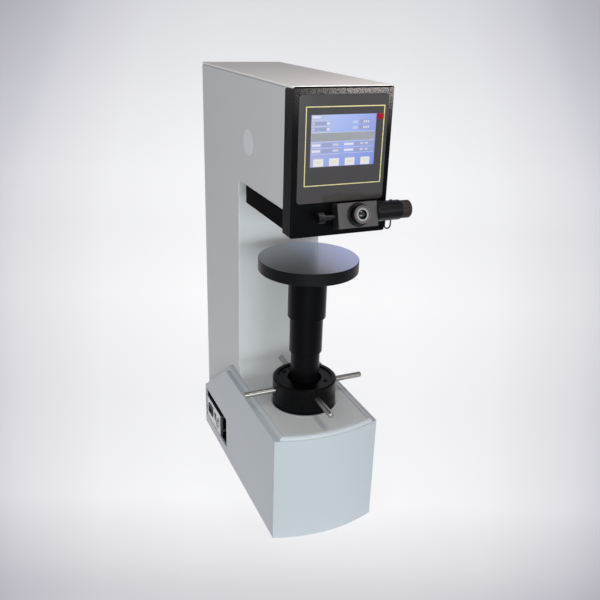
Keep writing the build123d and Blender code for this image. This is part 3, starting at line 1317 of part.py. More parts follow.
PIECES = [
    frame_casting, foot_casting, base_plate, base_shroud, connector_tray, connector_panel, mains_inlet, data_socket,
    power_rocker, top_lid, front_bezel, overlay_panel, touch_screen, indicator_lens, head_skirt,
    access_plug, rear_cover, rear_cover_screws, anvil_table, elevating_screw, screw_key, top_sleeve,
    middle_sleeve, lower_sleeve, handwheel_hub, hub_screws, handwheel_rods, lead_nut, thrust_race,
    spindle_bush, main_spindle, load_cell, crosshead, guide_rods, ball_nut, ball_screw, screw_bearing,
    bearing_bridge, load_motor, motor_pulley, screw_pulley, timing_belt, turret_disc, turret_pivot,
    indenter_holder, indenter_ball, return_spring, objective, prism_housing, microscope_tube,
    micrometer_block, eyepiece_barrel, eyepiece_lens, dioptre_ring, micrometer_sleeve, micrometer_drum,
    reticle_knob, hanging_ring, control_board, power_supply,
]

os.makedirs("parts", exist_ok=True)
for piece in PIECES:
    export_step(piece(), f"parts/{piece.__name__}.step")
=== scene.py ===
"""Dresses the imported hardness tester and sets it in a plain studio."""

import logging
import math
from dataclasses import dataclass, field
from enum import Enum
from typing import Iterable, Iterator, Sequence

import bmesh
import bpy
from mathutils import Matrix, Vector


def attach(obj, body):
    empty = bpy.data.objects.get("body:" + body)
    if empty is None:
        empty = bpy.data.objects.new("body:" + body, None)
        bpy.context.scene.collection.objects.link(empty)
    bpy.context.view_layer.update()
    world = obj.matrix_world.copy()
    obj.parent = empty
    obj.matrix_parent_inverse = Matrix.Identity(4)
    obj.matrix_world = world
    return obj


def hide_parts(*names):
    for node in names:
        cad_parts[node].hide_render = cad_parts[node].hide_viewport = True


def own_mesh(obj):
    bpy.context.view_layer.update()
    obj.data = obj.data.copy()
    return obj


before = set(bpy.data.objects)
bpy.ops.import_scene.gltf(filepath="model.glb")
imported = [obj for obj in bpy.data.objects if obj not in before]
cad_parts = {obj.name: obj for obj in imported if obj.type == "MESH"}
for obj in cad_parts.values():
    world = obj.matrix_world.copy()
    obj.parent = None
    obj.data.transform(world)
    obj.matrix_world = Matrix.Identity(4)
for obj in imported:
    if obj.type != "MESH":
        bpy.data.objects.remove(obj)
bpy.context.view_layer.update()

log = logging.getLogger("tester")
logging.basicConfig(level=logging.INFO, format="%(name)s: %(message)s")

MM = 0.001
Point = tuple[float, float, float]
Stops = Sequence[tuple[float, str]]
Tree = bpy.types.NodeTree
Node = bpy.types.Node
Socket = bpy.types.NodeSocket
Piece = bpy.types.Object
# A radius under this many millimetres counts as a point of the axis.
ON_AXIS = 1e-6
# Left, right, foot and top of the picture on the display, in millimetres.
PICTURE_X = (-60.1, 61.3)
PICTURE_Z = (768.0, 854.2)


class Body(str, Enum):
    """The CAD bodies that new pieces ride on."""

    FRAME = "frame"
    HANDWHEEL = "handwheel"
    EYEPIECE = "eyepiece"
    DIOPTRE = "dioptre"
    RETICLE = "reticle"
    TURRET = "turret"
    SWITCH = "switch"


class Grain(Enum):
    """Which way a metal's tool marks run."""

    NONE = 0
    ALONG_X = 1
    ALONG_Y = 2
    RINGS_ABOUT_Z = 3


def linear(code: str) -> tuple[float, float, float, float]:
    """Turns an sRGB hex value into the linear colour that the shaders take.

    Args:
        code: six hex digits after a hash sign.

    Returns:
        Red, green and blue, linear, and a full alpha.
    """
    values = [int(code[i:i + 2], 16) / 255 for i in (1, 3, 5)]
    lin = [v / 12.92 if v <= 0.04045 else ((v + 0.055) / 1.055) ** 2.4 for v in values]
    return (lin[0], lin[1], lin[2], 1.0)


def add_node(tree: Tree, kind: str, inputs: dict | None = None, **settings: object) -> Node:
    """Adds one node with its settings, values and links.

    Args:
        tree: the node tree that gets the node.
        kind: the node's type name.
        inputs: socket name or index to a value, or to the output socket that feeds it.
        settings: the node's own properties.

    Returns:
        The new node.
    """
    node = tree.nodes.new(kind)
    for name, value in settings.items():
        setattr(node, name, value)
    for key, value in (inputs or {}).items():
        socket = node.inputs[key]
        if isinstance(value, Socket):
            tree.links.new(value, socket)
        else:
            socket.default_value = value
    return node


def set_stops(node: Node, stops: Stops) -> Socket:
    """Gives a colour ramp its stops.

    Args:
        node: the colour ramp.
        stops: position and sRGB hex value of each stop, in rising order.

    Returns:
        The ramp's colour socket.
    """
    marks = node.color_ramp.elements
    while len(marks) < len(stops):
        marks.new(1.0)
    for mark, (place, code) in zip(marks, stops):
        mark.position = place
        mark.color = linear(code)
    return node.outputs["Color"]


@dataclass(frozen=True)
class Finish:
    """What every finish has: a name, a colour and the shader's plain values."""

    name: str
    colour: str
    roughness: float = 0.5
    metallic: float = 0.0
    specular: float = 0.5

    def build(self) -> bpy.types.Material:
        """Makes the material, or returns it if it is there already."""
        found = bpy.data.materials.get(self.name)
        if found:
            return found
        material = bpy.data.materials.new(self.name)
        material.use_nodes = True
        material.diffuse_color = linear(self.colour)
        tree = material.node_tree
        tree.nodes.clear()
        shader = add_node(tree, "ShaderNodeBsdfPrincipled", {
            "Base Color": linear(self.colour), "Roughness": self.roughness, "Metallic": self.metallic,
        })
        if self.metallic < 1:
            shader.inputs["Specular IOR Level"].default_value = self.specular
        add_node(tree, "ShaderNodeOutputMaterial", {"Surface": shader.outputs["BSDF"]})
        where = add_node(tree, "ShaderNodeTexCoord").outputs["Object"]
        self.dress(tree, shader, where)
        return material

    def dress(self, tree: Tree, shader: Node, where: Socket) -> None:
        """Adds the finish's own pattern; the plain finish has none.

        Args:
            tree: the material's tree.
            shader: its main shader.
            where: the object's coordinates in metres.
        """

    def texture(self, tree: Tree, shader: Node, drift: tuple[Socket, float],
                gloss: tuple[Socket, float, float], relief: tuple[Socket, float, float]) -> None:
        """Feeds the shader's colour, roughness and relief from patterns.

        Args:
            tree: the material's tree.
            shader: its main shader.
            drift: pattern of the colour, and the share by which it darkens and pales.
            gloss: pattern of the roughness, with its lowest and highest value.
            relief: pattern of the height, with the relief's strength and its depth in mm.
        """
        colour, (cloud, share) = linear(self.colour)[:3], drift
        dark = [c * (1 - share) for c in colour]
        pale = [min(1.0, c * (1 + share)) for c in colour]
        tint = add_node(tree, "ShaderNodeMix", {
            "Factor": cloud, 6: (*dark, 1.0), 7: (*pale, 1.0),
        }, data_type="RGBA")
        tree.links.new(tint.outputs[2], shader.inputs["Base Color"])
        dull = add_node(tree, "ShaderNodeMapRange", {
            "Value": gloss[0], "To Min": gloss[1], "To Max": gloss[2],
        })
        tree.links.new(dull.outputs["Result"], shader.inputs["Roughness"])
        bump = add_node(tree, "ShaderNodeBump", {
            "Height": relief[0], "Strength": relief[1], "Distance": relief[2] * MM,
        })
        tree.links.new(bump.outputs["Normal"], shader.inputs["Normal"])


@dataclass(frozen=True)
class Coat(Finish):
    """Sprayed, moulded or printed skin: soft mottle in the colour, fine grain in the relief."""

    mottle: float = 0.05
    mottle_mm: float = 60.0
    grain_mm: float = 1.6
    grain_depth_mm: float = 0.03
    relief: float = 0.6
    gloss_drift: float = 0.06
    glossiest: float = 0.02

    def dress(self, tree: Tree, shader: Node, where: Socket) -> None:
        """Lets colour and gloss drift with a soft mottle, and raises a fine grain."""
        cloud, grain = (add_node(tree, "ShaderNodeTexNoise", {
            "Vector": where, "Scale": 1 / (size * MM), "Detail": detail, "Roughness": rough,
        }).outputs["Fac"] for size, detail, rough in ((self.mottle_mm, 3.0, 0.55), (self.grain_mm, 2.0, 0.5)))
        least = max(self.glossiest, self.roughness - self.gloss_drift)
        most = min(1.0, self.roughness + self.gloss_drift)
        self.texture(tree, shader, (cloud, self.mottle), (cloud, least, most),
                     (grain, self.relief, self.grain_depth_mm))


@dataclass(frozen=True)
class CrackleCoat(Finish):
    """Baked wrinkle enamel: a net of shallow folds, with pale glints painted on their small crests.

    The folds are drawn about twice as wide as real ones, so that they show in the render.
    """

    cell_mm: float = 3.4
    depth_mm: float = 0.30
    relief: float = 0.8
    sway_mm: float = 4.0
    sway_cells: float = 3.0
    fine_cells: float = 0.6
    crest_glint: str = "#8A8380"
    glint_from: float = 0.40
    glint_full: float = 0.52
    glint_from_z_mm: float = 790.0
    glint_full_z_mm: float = 892.0
    glint_end_z_mm: float = 896.4
    glint_power: float = 3.0
    dull_x_mm: float = -110.0
    bright_x_mm: float = 20.0
    dull_share: float = 0.04

    def dress(self, tree: Tree, shader: Node, where: Socket) -> None:
        """Draws the folds from a warped cell pattern and a fine one, and paints pale glints on their crests,
        more higher up and to the right.
        """
        warp = add_node(tree, "ShaderNodeTexNoise", {
            "Vector": where, "Scale": 1 / (self.sway_cells * self.cell_mm * MM), "Detail": 2.0,
        }).outputs["Color"]
        sway = add_node(tree, "ShaderNodeVectorMath", {0: warp, 1: (self.sway_mm * MM,) * 3},
                        operation="MULTIPLY").outputs[0]
        bent = add_node(tree, "ShaderNodeVectorMath", {0: where, 1: sway}, operation="ADD").outputs[0]
        cells = add_node(tree, "ShaderNodeTexVoronoi", {
            "Vector": bent, "Scale": 1 / (self.cell_mm * MM), "Randomness": 1.0,
        }, feature="SMOOTH_F1").outputs["Distance"]
        fine = add_node(tree, "ShaderNodeTexNoise", {
            "Vector": bent, "Scale": 1 / (self.fine_cells * self.cell_mm * MM), "Detail": 3.0,
        }).outputs["Fac"]
        height = add_node(tree, "ShaderNodeMath", {0: cells, 1: fine}, operation="ADD").outputs[0]
        bump = add_node(tree, "ShaderNodeBump", {
            "Height": height, "Strength": self.relief, "Distance": self.depth_mm * MM,
        }, invert=True)
        tree.links.new(bump.outputs["Normal"], shader.inputs["Normal"])
        place = add_node(tree, "ShaderNodeSeparateXYZ", {"Vector": where}).outputs
        # Painted highlight: the crest tint grows with height, stops at the lip's top and fades to the left.
        glint, glint_by_height, sideways = (add_node(tree, "ShaderNodeMapRange", {
            "Value": source, "From Min": low, "From Max": high, "To Min": least,
        }).outputs["Result"] for source, low, high, least in (
            (fine, self.glint_from, self.glint_full, 0.0),
            (place["Z"], self.glint_from_z_mm * MM, self.glint_full_z_mm * MM, 0.0),
            (place["X"], self.dull_x_mm * MM, self.bright_x_mm * MM, self.dull_share),
        ))
        steep = add_node(tree, "ShaderNodeMath", {0: glint_by_height, 1: self.glint_power}, operation="POWER").outputs[0]
        below = add_node(tree, "ShaderNodeMath", {0: place["Z"], 1: self.glint_end_z_mm * MM},
                         operation="LESS_THAN").outputs[0]
        share = glint
        for factor in (steep, below, sideways):
            share = add_node(tree, "ShaderNodeMath", {0: share, 1: factor}, operation="MULTIPLY").outputs[0]
        tint = add_node(tree, "ShaderNodeMix", {
            "Factor": share, 6: linear(self.colour), 7: linear(self.crest_glint),
        }, data_type="RGBA")
        tree.links.new(tint.outputs[2], shader.inputs["Base Color"])


@dataclass(frozen=True)
class Metal(Finish):
    """Machined metal: stretched tool marks in relief and gloss, and a slow drift of tone.

    The marks are drawn a few times as coarse as real ones, so that they show in the render.
    """

    metallic: float = 1.0
    grain: Grain = Grain.NONE
    mark_mm: float = 0.7
    mark_depth_mm: float = 0.012
    relief: float = 0.5
    drawn_out: float = 0.02
    drift: float = 0.06
    drifts_per_m: float = 28.0
    crest_gloss: float = 0.75
    trough_gloss: float = 1.3
    glossiest: float = 0.03

    def dress(self, tree: Tree, shader: Node, where: Socket) -> None:
        """Stretches a noise along the tool's path and feeds relief and gloss with it."""
        fine = 1 / (self.mark_mm * MM)
        slow = fine * self.drawn_out
        stretch = {Grain.ALONG_X: (slow, fine, fine), Grain.ALONG_Y: (fine, slow, fine)}
        marks_at = where
        if self.grain is Grain.RINGS_ABOUT_Z:
            flat = add_node(tree, "ShaderNodeVectorMath", {0: where, 1: (1.0, 1.0, 0.0)},
                            operation="MULTIPLY")
            reach = add_node(tree, "ShaderNodeVectorMath", {0: flat.outputs[0]}, operation="LENGTH")
            marks_at = add_node(tree, "ShaderNodeCombineXYZ", {"X": reach.outputs["Value"]}).outputs["Vector"]
        scaled = add_node(tree, "ShaderNodeVectorMath", {
            0: marks_at, 1: stretch.get(self.grain, (fine, fine, fine)),
        }, operation="MULTIPLY")
        marks = add_node(tree, "ShaderNodeTexNoise", {
            "Vector": scaled.outputs[0], "Scale": 1.0, "Detail": 3.0, "Roughness": 0.6,
        }).outputs["Fac"]
        cloud = add_node(tree, "ShaderNodeTexNoise", {
            "Vector": where, "Scale": self.drifts_per_m, "Detail": 2.0,
        }).outputs["Fac"]
        least = max(self.glossiest, self.roughness * self.crest_gloss)
        most = min(1.0, self.roughness * self.trough_gloss)
        self.texture(tree, shader, (cloud, self.drift), (marks, least, most),
                     (marks, self.relief, self.mark_depth_mm))


@dataclass(frozen=True)
class FacedMetal(Metal):
    """Blackened metal with one face ground bright, told apart by its height, that face painted paler and
    bluer towards one side as a painted reflection.
    """

    face: str = "#8F8E92"
    face_far_reflection: str = "#BAC4EC"
    near_x_mm: float = -20.0
    far_x_mm: float = 95.0
    face_roughness: float = 0.25
    face_from_mm: float = 562.5

    def dress(self, tree: Tree, shader: Node, where: Socket) -> None:
        """Adds the tool marks, then lays the ground face over the blackening."""
        super().dress(tree, shader, where)
        place = add_node(tree, "ShaderNodeSeparateXYZ", {"Vector": where}).outputs
        bare = add_node(tree, "ShaderNodeMath", {0: place["Z"], 1: self.face_from_mm * MM},
                        operation="GREATER_THAN").outputs[0]
        # Painted reflection: the ground face pales and turns bluer from near to far X.
        film = add_node(tree, "ShaderNodeMapRange", {
            "Value": place["X"], "From Min": self.near_x_mm * MM, "From Max": self.far_x_mm * MM,
        })
        painted_reflection = add_node(tree, "ShaderNodeMix", {
            "Factor": film.outputs["Result"], 6: linear(self.face), 7: linear(self.face_far_reflection),
        }, data_type="RGBA")
        for name, kind, first, above in (
            ("Metallic", "FLOAT", 2, 1.0), ("Roughness", "FLOAT", 2, self.face_roughness),
            ("Base Color", "RGBA", 6, painted_reflection.outputs[2]),
        ):
            socket = shader.inputs[name]
            below = socket.links[0].from_socket if socket.links else socket.default_value
            mixed = add_node(tree, "ShaderNodeMix", {0: bare, first: below, first + 1: above}, data_type=kind)
            tree.links.new(mixed.outputs[2 if kind == "RGBA" else 0], socket)


@dataclass(frozen=True)
class Lit(Finish):
    """Part of the display's picture, lit from behind."""

    glow: float = 1.0
    backing: float = 0.01

    def dress(self, tree: Tree, shader: Node, where: Socket) -> None:
        """Lights the colour from behind and leaves the surface smooth."""
        shader.inputs["Base Color"].default_value = (*[self.backing] * 3, 1.0)
        shader.inputs["Emission Color"].default_value = linear(self.colour)
        shader.inputs["Emission Strength"].default_value = self.glow


@dataclass(frozen=True)
class LitGround(Lit):
    """The picture's ground: paler and warmer to the left, deep blue-violet to the right and below."""

    top: Stops = ((0.0, "#B4BAD6"), (0.35, "#A6BAEC"), (0.7, "#9DAEEC"), (1.0, "#8C9BDD"))
    foot: Stops = ((0.0, "#9EA4D2"), (0.5, "#8896DA"), (1.0, "#728CDC"))

    def dress(self, tree: Tree, shader: Node, where: Socket) -> None:
        """Runs the colour across and up the picture."""
        super().dress(tree, shader, where)
        place = add_node(tree, "ShaderNodeSeparateXYZ", {"Vector": where}).outputs
        across, up = (add_node(tree, "ShaderNodeMapRange", {
            "Value": place[axis], "From Min": low * MM, "From Max": high * MM,
        }).outputs["Result"] for axis, (low, high) in (("X", PICTURE_X), ("Z", PICTURE_Z)))
        foot, top = (set_stops(add_node(tree, "ShaderNodeValToRGB", {"Fac": across}), stops)
                     for stops in (self.foot, self.top))
        both = add_node(tree, "ShaderNodeMix", {"Factor": up, 6: foot, 7: top}, data_type="RGBA")
        tree.links.new(both.outputs[2], shader.inputs["Emission Color"])


# Stove enamel sprayed on iron and sheet: even satin, with a faint orange-peel skin.
BODY_ENAMEL = Coat("cool grey stove enamel", "#D1D2D2", roughness=0.42, specular=0.4, mottle=0.02,
                   mottle_mm=160, grain_mm=2.4)
# The lid's enamel is the same paint, painted a little warmer for the warm light it reflects from above.
LID_ENAMEL = Coat("warm grey stove enamel", "#CFCAC6", roughness=0.40, specular=0.45, mottle=0.03,
                  mottle_mm=140, grain_mm=2.4)
# The lid's rolled edge is painted pale: a painted highlight where it catches the light.
LID_EDGE_HIGHLIGHT = Coat("lid edge painted pale as highlight", "#F6F3EF", roughness=0.38, mottle=0.02, mottle_mm=90,
                grain_mm=2.0, grain_depth_mm=0.02)
# The foot's cover has the same enamel, a little glossier, painted slightly bluer and darker for how the light
# falls on it.
SHROUD_ENAMEL = Coat("pale blue-grey stove enamel", "#C3C8CC", roughness=0.38, specular=0.4, mottle=0.02,
                     mottle_mm=150, grain_mm=2.2)
# The plug is moulded in a whiter plastic than the enamel round it.
PLUG_MOULDING = Coat("pale grey moulded plug", "#E4E2E6", roughness=0.46, specular=0.4, mottle=0.03,
                     mottle_mm=25, grain_mm=0.8, grain_depth_mm=0.01)
# Wrinkle enamel on the head's front casting: black, with pale glints painted on its crests, more near the top
# and to the right.
WRINKLE_BLACK = CrackleCoat("black wrinkle enamel", "#070708", roughness=0.42, specular=0.05)
# Polyester panel film printed black: smooth, so it turns grey where it mirrors the floor.
PANEL_FILM = Coat("semi-gloss printed polyester film", "#373433", roughness=0.11, specular=1.0, mottle=0.06,
                  mottle_mm=30, grain_mm=0.8, grain_depth_mm=0.002, gloss_drift=0.03)
# Oil-blackened steel: near black, slightly blue, with the turning marks left in it.
BLACK_OXIDE = Metal("oil-blackened steel", "#070708", roughness=0.30, metallic=0.1, specular=0.10,
                    grain=Grain.RINGS_ABOUT_Z, mark_mm=0.8)
# The anvil is blackened, then its top is ground flat, so that mirrors softly; the top is painted paler and
# bluer to the right as a painted reflection.
ANVIL_STEEL = FacedMetal("blackened steel with ground top", "#0C0D0F", roughness=0.36, metallic=0.2,
                         specular=0.2, grain=Grain.ALONG_X, mark_mm=0.6, mark_depth_mm=0.006)
# Moulded black tray under the head: fine spark-eroded texture.
TRAY_BLACK = Coat("spark-eroded black moulding", "#08080A", roughness=0.7, specular=0.02, mottle=0.08,
                  mottle_mm=20, grain_mm=0.9)
# Hard chrome on the handwheel's rods: handled until it is soft and even, with no marks left in it.
CHROME_ROD = Metal("hard chrome rod", "#A3A19C", roughness=0.34, mark_mm=90.0, mark_depth_mm=0.0)
# Turned steel left bright, with fine rings from the lathe.
PLAIN_STEEL = Metal("turned bright steel", "#A9ABAD", roughness=0.30, grain=Grain.RINGS_ABOUT_Z)
# Tin bronze bush and nut, warm yellow and softly worn.
BRONZE = Metal("cast tin bronze", "#B08A4E", roughness=0.36)
# Brushed sheet and machined plate, the marks running one way.
ALUMINIUM = Metal("brushed aluminium", "#C4C8CA", roughness=0.34, grain=Grain.ALONG_Y, mark_mm=0.4)
# Black anodised block, frosted, its colour painted an even warm grey as a painted reflection of the light its
# face catches.
SHEEN_GREY_ANODISED = Metal("black anodised aluminium painted grey as reflection", "#565352", roughness=0.45, mark_mm=0.35,
                      mark_depth_mm=0.01)
# Black anodised tube and drum parts, satin with fine lathe lines.
BLACK_ANODISED = Metal("black anodised aluminium", "#0C0C0D", roughness=0.27, metallic=0.2, specular=0.3,
                       grain=Grain.ALONG_X, mark_mm=0.5)
# Black anodised drum, painted a lighter brown-black as a painted highlight for the sheen on its flutes.
DRUM_SHEEN_ANODISED = Metal("black anodised drum painted brown for sheen", "#332B29", roughness=0.42, metallic=0.3, specular=0.3,
                        grain=Grain.ALONG_X, mark_mm=0.5)
# Faced ring of the eyepiece: black anodised, its faces painted grey as a painted reflection of the light they
# catch.
RING_FACE = Metal("anodised ring face painted grey as reflection", "#7D7473", roughness=0.36, mark_mm=0.4)
# Socket bodies and rocker: moulded black, slightly glossy.
BLACK_PLASTIC = Coat("black polyamide moulding", "#151517", roughness=0.42, specular=0.35, mottle_mm=12,
                     grain_mm=0.7, grain_depth_mm=0.015)
# Single eye lens with its anti-reflection coat, seen over a dark bore.
EYE_GLASS = Coat("coated eye lens over a dark bore", "#050507", roughness=0.06, specular=0.6, mottle=0.0,
                 grain_mm=4.0, grain_depth_mm=0.0005, gloss_drift=0.01)
# Red acrylic square of the indicator, unlit.
RED_LENS = Coat("red acrylic indicator lens", "#8E0A1C", roughness=0.22, specular=0.25, mottle=0.1,
                mottle_mm=5)
# Belt rubber, dull black.
RUBBER = Coat("black belt rubber", "#1C1B1A", roughness=0.75, specular=0.3, mottle=0.08, mottle_mm=15)
# Solder mask over the board's laminate.
LAMINATE = Coat("green solder-masked laminate", "#1E5A34", roughness=0.4, mottle=0.12, mottle_mm=14)
# Lapped carbide of the indenting ball.
CARBIDE = Metal("polished tungsten carbide", "#8F9194", roughness=0.08, mark_depth_mm=0.001)
# Glass over the display, dark where no picture lies under it.
DISPLAY_GLASS = Coat("dark display glass", "#0C0D12", roughness=0.12, mottle=0.02, mottle_mm=40,
                     grain_mm=3.0, grain_depth_mm=0.001)
# Screen-printed line on the film: pale gold, slightly raised.
GOLD_INK = Coat("screen-printed pale gold ink", "#CFC58A", roughness=0.45, mottle=0.08, mottle_mm=8,
                grain_mm=0.6, grain_depth_mm=0.01)
# White paint rubbed into engraved marks.
WHITE_INK = Coat("filled white engraving", "#D8D8D4", roughness=0.55, mottle_mm=3, grain_mm=0.4,
                 grain_depth_mm=0.01)
# Bright zinc on screws and posts.
ZINC = Metal("bright zinc plate", "#C2C4C6", roughness=0.28, mark_mm=0.5)
# Gold flash on the data socket's contacts.
CONTACT_GOLD = Metal("gold-flashed contact", "#B89A5A", roughness=0.25, mark_mm=0.3, mark_depth_mm=0.002)
# Shadowed bottom of a cross recess.
RECESS_SHADE = Coat("shaded cross recess", "#2A2A2B", roughness=0.6, mottle_mm=2, grain_mm=0.4)
# The picture on the display, lit from behind, one finish for each of its colours.
GLOW_GROUND = LitGround("display ground, lit violet-blue", "#9CA8E4")
GLOW_WHITE = Lit("display white, lit", "#DADBEA")
GLOW_BUTTON = Lit("display button, lit", "#DEDEDC")
GLOW_LILAC = Lit("display lilac, lit", "#BEC3E2")
GLOW_SLATE = Lit("display slate band, lit", "#9299C2")
GLOW_SAGE = Lit("display sage band, lit", "#94989D")
GLOW_BAND_END = Lit("display grey band, lit", "#989BA2")
GLOW_LEAF = Lit("display yellow-green marks, lit", "#C9D6A2")
# Matt paint of the studio's sweep; the studio paints a pool of light onto it.
SWEEP_PAINT = Coat("matt pale backdrop paint", "#E6E5E8", roughness=0.9, specular=0.1, mottle=0.0,
                   mottle_mm=900, grain_mm=4.0, grain_depth_mm=0.01)


@dataclass
class Shape:
    """Collects solids into one mesh, each face with its own finish. Lengths are in millimetres."""

    name: str
    bm: bmesh.types.BMesh = field(default_factory=bmesh.new)
    finishes: list[Finish] = field(default_factory=list)

    @classmethod
    def copy_of(cls, name: str, node: Piece, finish: Finish) -> "Shape":
        """Starts a shape from a CAD node's mesh, with its loose triangles joined.

        Args:
            name: the new shape's name.
            node: the CAD node.
            finish: the finish of its faces.

        Returns:
            The shape, in millimetres.
        """
        shape = cls(name)
        shape.bm.from_mesh(node.data)
        bmesh.ops.scale(shape.bm, vec=(1 / MM, 1 / MM, 1 / MM), verts=shape.bm.verts)
        bmesh.ops.remove_doubles(shape.bm, verts=shape.bm.verts, dist=0.001)
        shape.paint(shape.bm.faces, finish)
        return shape

    def paint(self, faces: Iterable[bmesh.types.BMFace], finish: Finish) -> None:
        """Gives faces a finish, which joins the shape's finishes when it is new."""
        if finish not in self.finishes:
            self.finishes.append(finish)
        index = self.finishes.index(finish)
        for face in faces:
            face.material_index = index

    def box(self, lo: Point, hi: Point, finish: Finish, soften: float = 0.0) -> None:
        """Adds a box between two corners.

        Args:
            lo: lowest corner in mm.
            hi: highest corner in mm.
            finish: the finish of its faces.
            soften: width of the small chamfer on its edges in mm, or 0.
        """
        size = [b - a for a, b in zip(lo, hi)]
        centre = [(a + b) / 2 for a, b in zip(lo, hi)]
        made = bmesh.ops.create_cube(self.bm, size=1.0)
        bmesh.ops.scale(self.bm, vec=size, verts=made["verts"])
        bmesh.ops.translate(self.bm, vec=centre, verts=made["verts"])
        faces = {f for v in made["verts"] for f in v.link_faces}
        if soften > 0:
            edges = {e for v in made["verts"] for e in v.link_edges}
            done = bmesh.ops.bevel(self.bm, geom=list(edges), offset=soften, segments=2,
                                   affect="EDGES", profile=0.5)
            faces = {f for f in faces if f.is_valid} | set(done["faces"])
        self.paint(faces, finish)

    def lathe(self, profile: Sequence[tuple[float, float]], base: Point, axis: Point, finish: Finish,
              turns: int = 96) -> None:
        """Turns a closed section about an axis.

        Args:
            profile: (radius, height) points in mm, outwards side on the right when going up.
            base: a point of the axis in mm.
            axis: the axis direction.
            finish: the finish of its faces.
            turns: how many flats the circle has.
        """
        turned = Vector(axis).normalized().to_track_quat("Z", "Y").to_matrix().to_4x4()
        place = Matrix.Translation(Vector(base)) @ turned
        circle = [2 * math.pi * i / turns for i in range(turns)]
        rings = [[self.bm.verts.new(place @ Vector((r * math.cos(a), r * math.sin(a), h)))
                  for a in (circle if r >= ON_AXIS else (0.0,))] for r, h in profile]
        pairs = list(zip(rings, rings[1:] + rings[:1]))
        if len(rings[0]) == 1 and len(rings[-1]) == 1:
            pairs.pop()
        faces = []
        for low, high in pairs:
            for i in range(turns):
                j = (i + 1) % turns
                loop = [low[i % len(low)], low[j % len(low)], high[j % len(high)], high[i % len(high)]]
                corners = list(dict.fromkeys(loop))
                if len(corners) > 2:
                    faces.append(self.bm.faces.new(corners))
        self.paint(faces, finish)

    def plate(self, corners: Sequence[Point], thick: Sequence[float], finish: Finish) -> None:
        """Adds a flat plate.

        Args:
            corners: its outline in mm, in order.
            thick: the step from this face to the other one in mm.
            finish: the finish of its faces.
        """
        self.stack([corners, [tuple(Vector(c) + Vector(thick)) for c in corners]], finish)

    def stack(self, rings: Sequence[Sequence[Point]], finish: Finish) -> None:
        """Skins a pile of outlines with as many points each, and closes both ends.

        Args:
            rings: the outlines in mm, from the first end to the last.
            finish: the finish of its faces.
        """
        made = [[self.bm.verts.new(Vector(p)) for p in ring] for ring in rings]
        faces = [self.bm.faces.new(made[0]), self.bm.faces.new(made[-1][::-1])]
        for low, high in zip(made, made[1:]):
            for i in range(len(low)):
                j = (i + 1) % len(low)
                faces.append(self.bm.faces.new([low[i], low[j], high[j], high[i]]))
        self.paint(faces, finish)

    def finish_object(self, smooth: float = 35.0) -> Piece:
        """Closes the mesh and links its object.

        Args:
            smooth: edges sharper than this many degrees stay hard.

        Returns:
            The object, in metres.
        """
        bmesh.ops.scale(self.bm, vec=(MM, MM, MM), verts=self.bm.verts)
        bmesh.ops.recalc_face_normals(self.bm, faces=self.bm.faces)
        for f in self.bm.faces:
            f.smooth = True
        for e in self.bm.edges:
            if len(e.link_faces) == 2:
                e.smooth = e.calc_face_angle(0.0) < math.radians(smooth)
        mesh = bpy.data.meshes.new(self.name)
        self.bm.to_mesh(mesh)
        self.bm.free()
        for finish in self.finishes:
            mesh.materials.append(finish.build())
        made = bpy.data.objects.new(self.name, mesh)
        bpy.context.scene.collection.objects.link(made)
        return made


def seat(piece: Piece, body: Body, slot: str) -> Piece:
    """Lets a piece ride on its body.

    Args:
        piece: the piece.
        body: the CAD body that carries it.
        slot: the record's material slot; not used.

    Returns:
        The same piece.
    """
    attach(piece, body.value)
    log.info("%s rides on %s", piece.name, body.value)
    return piece


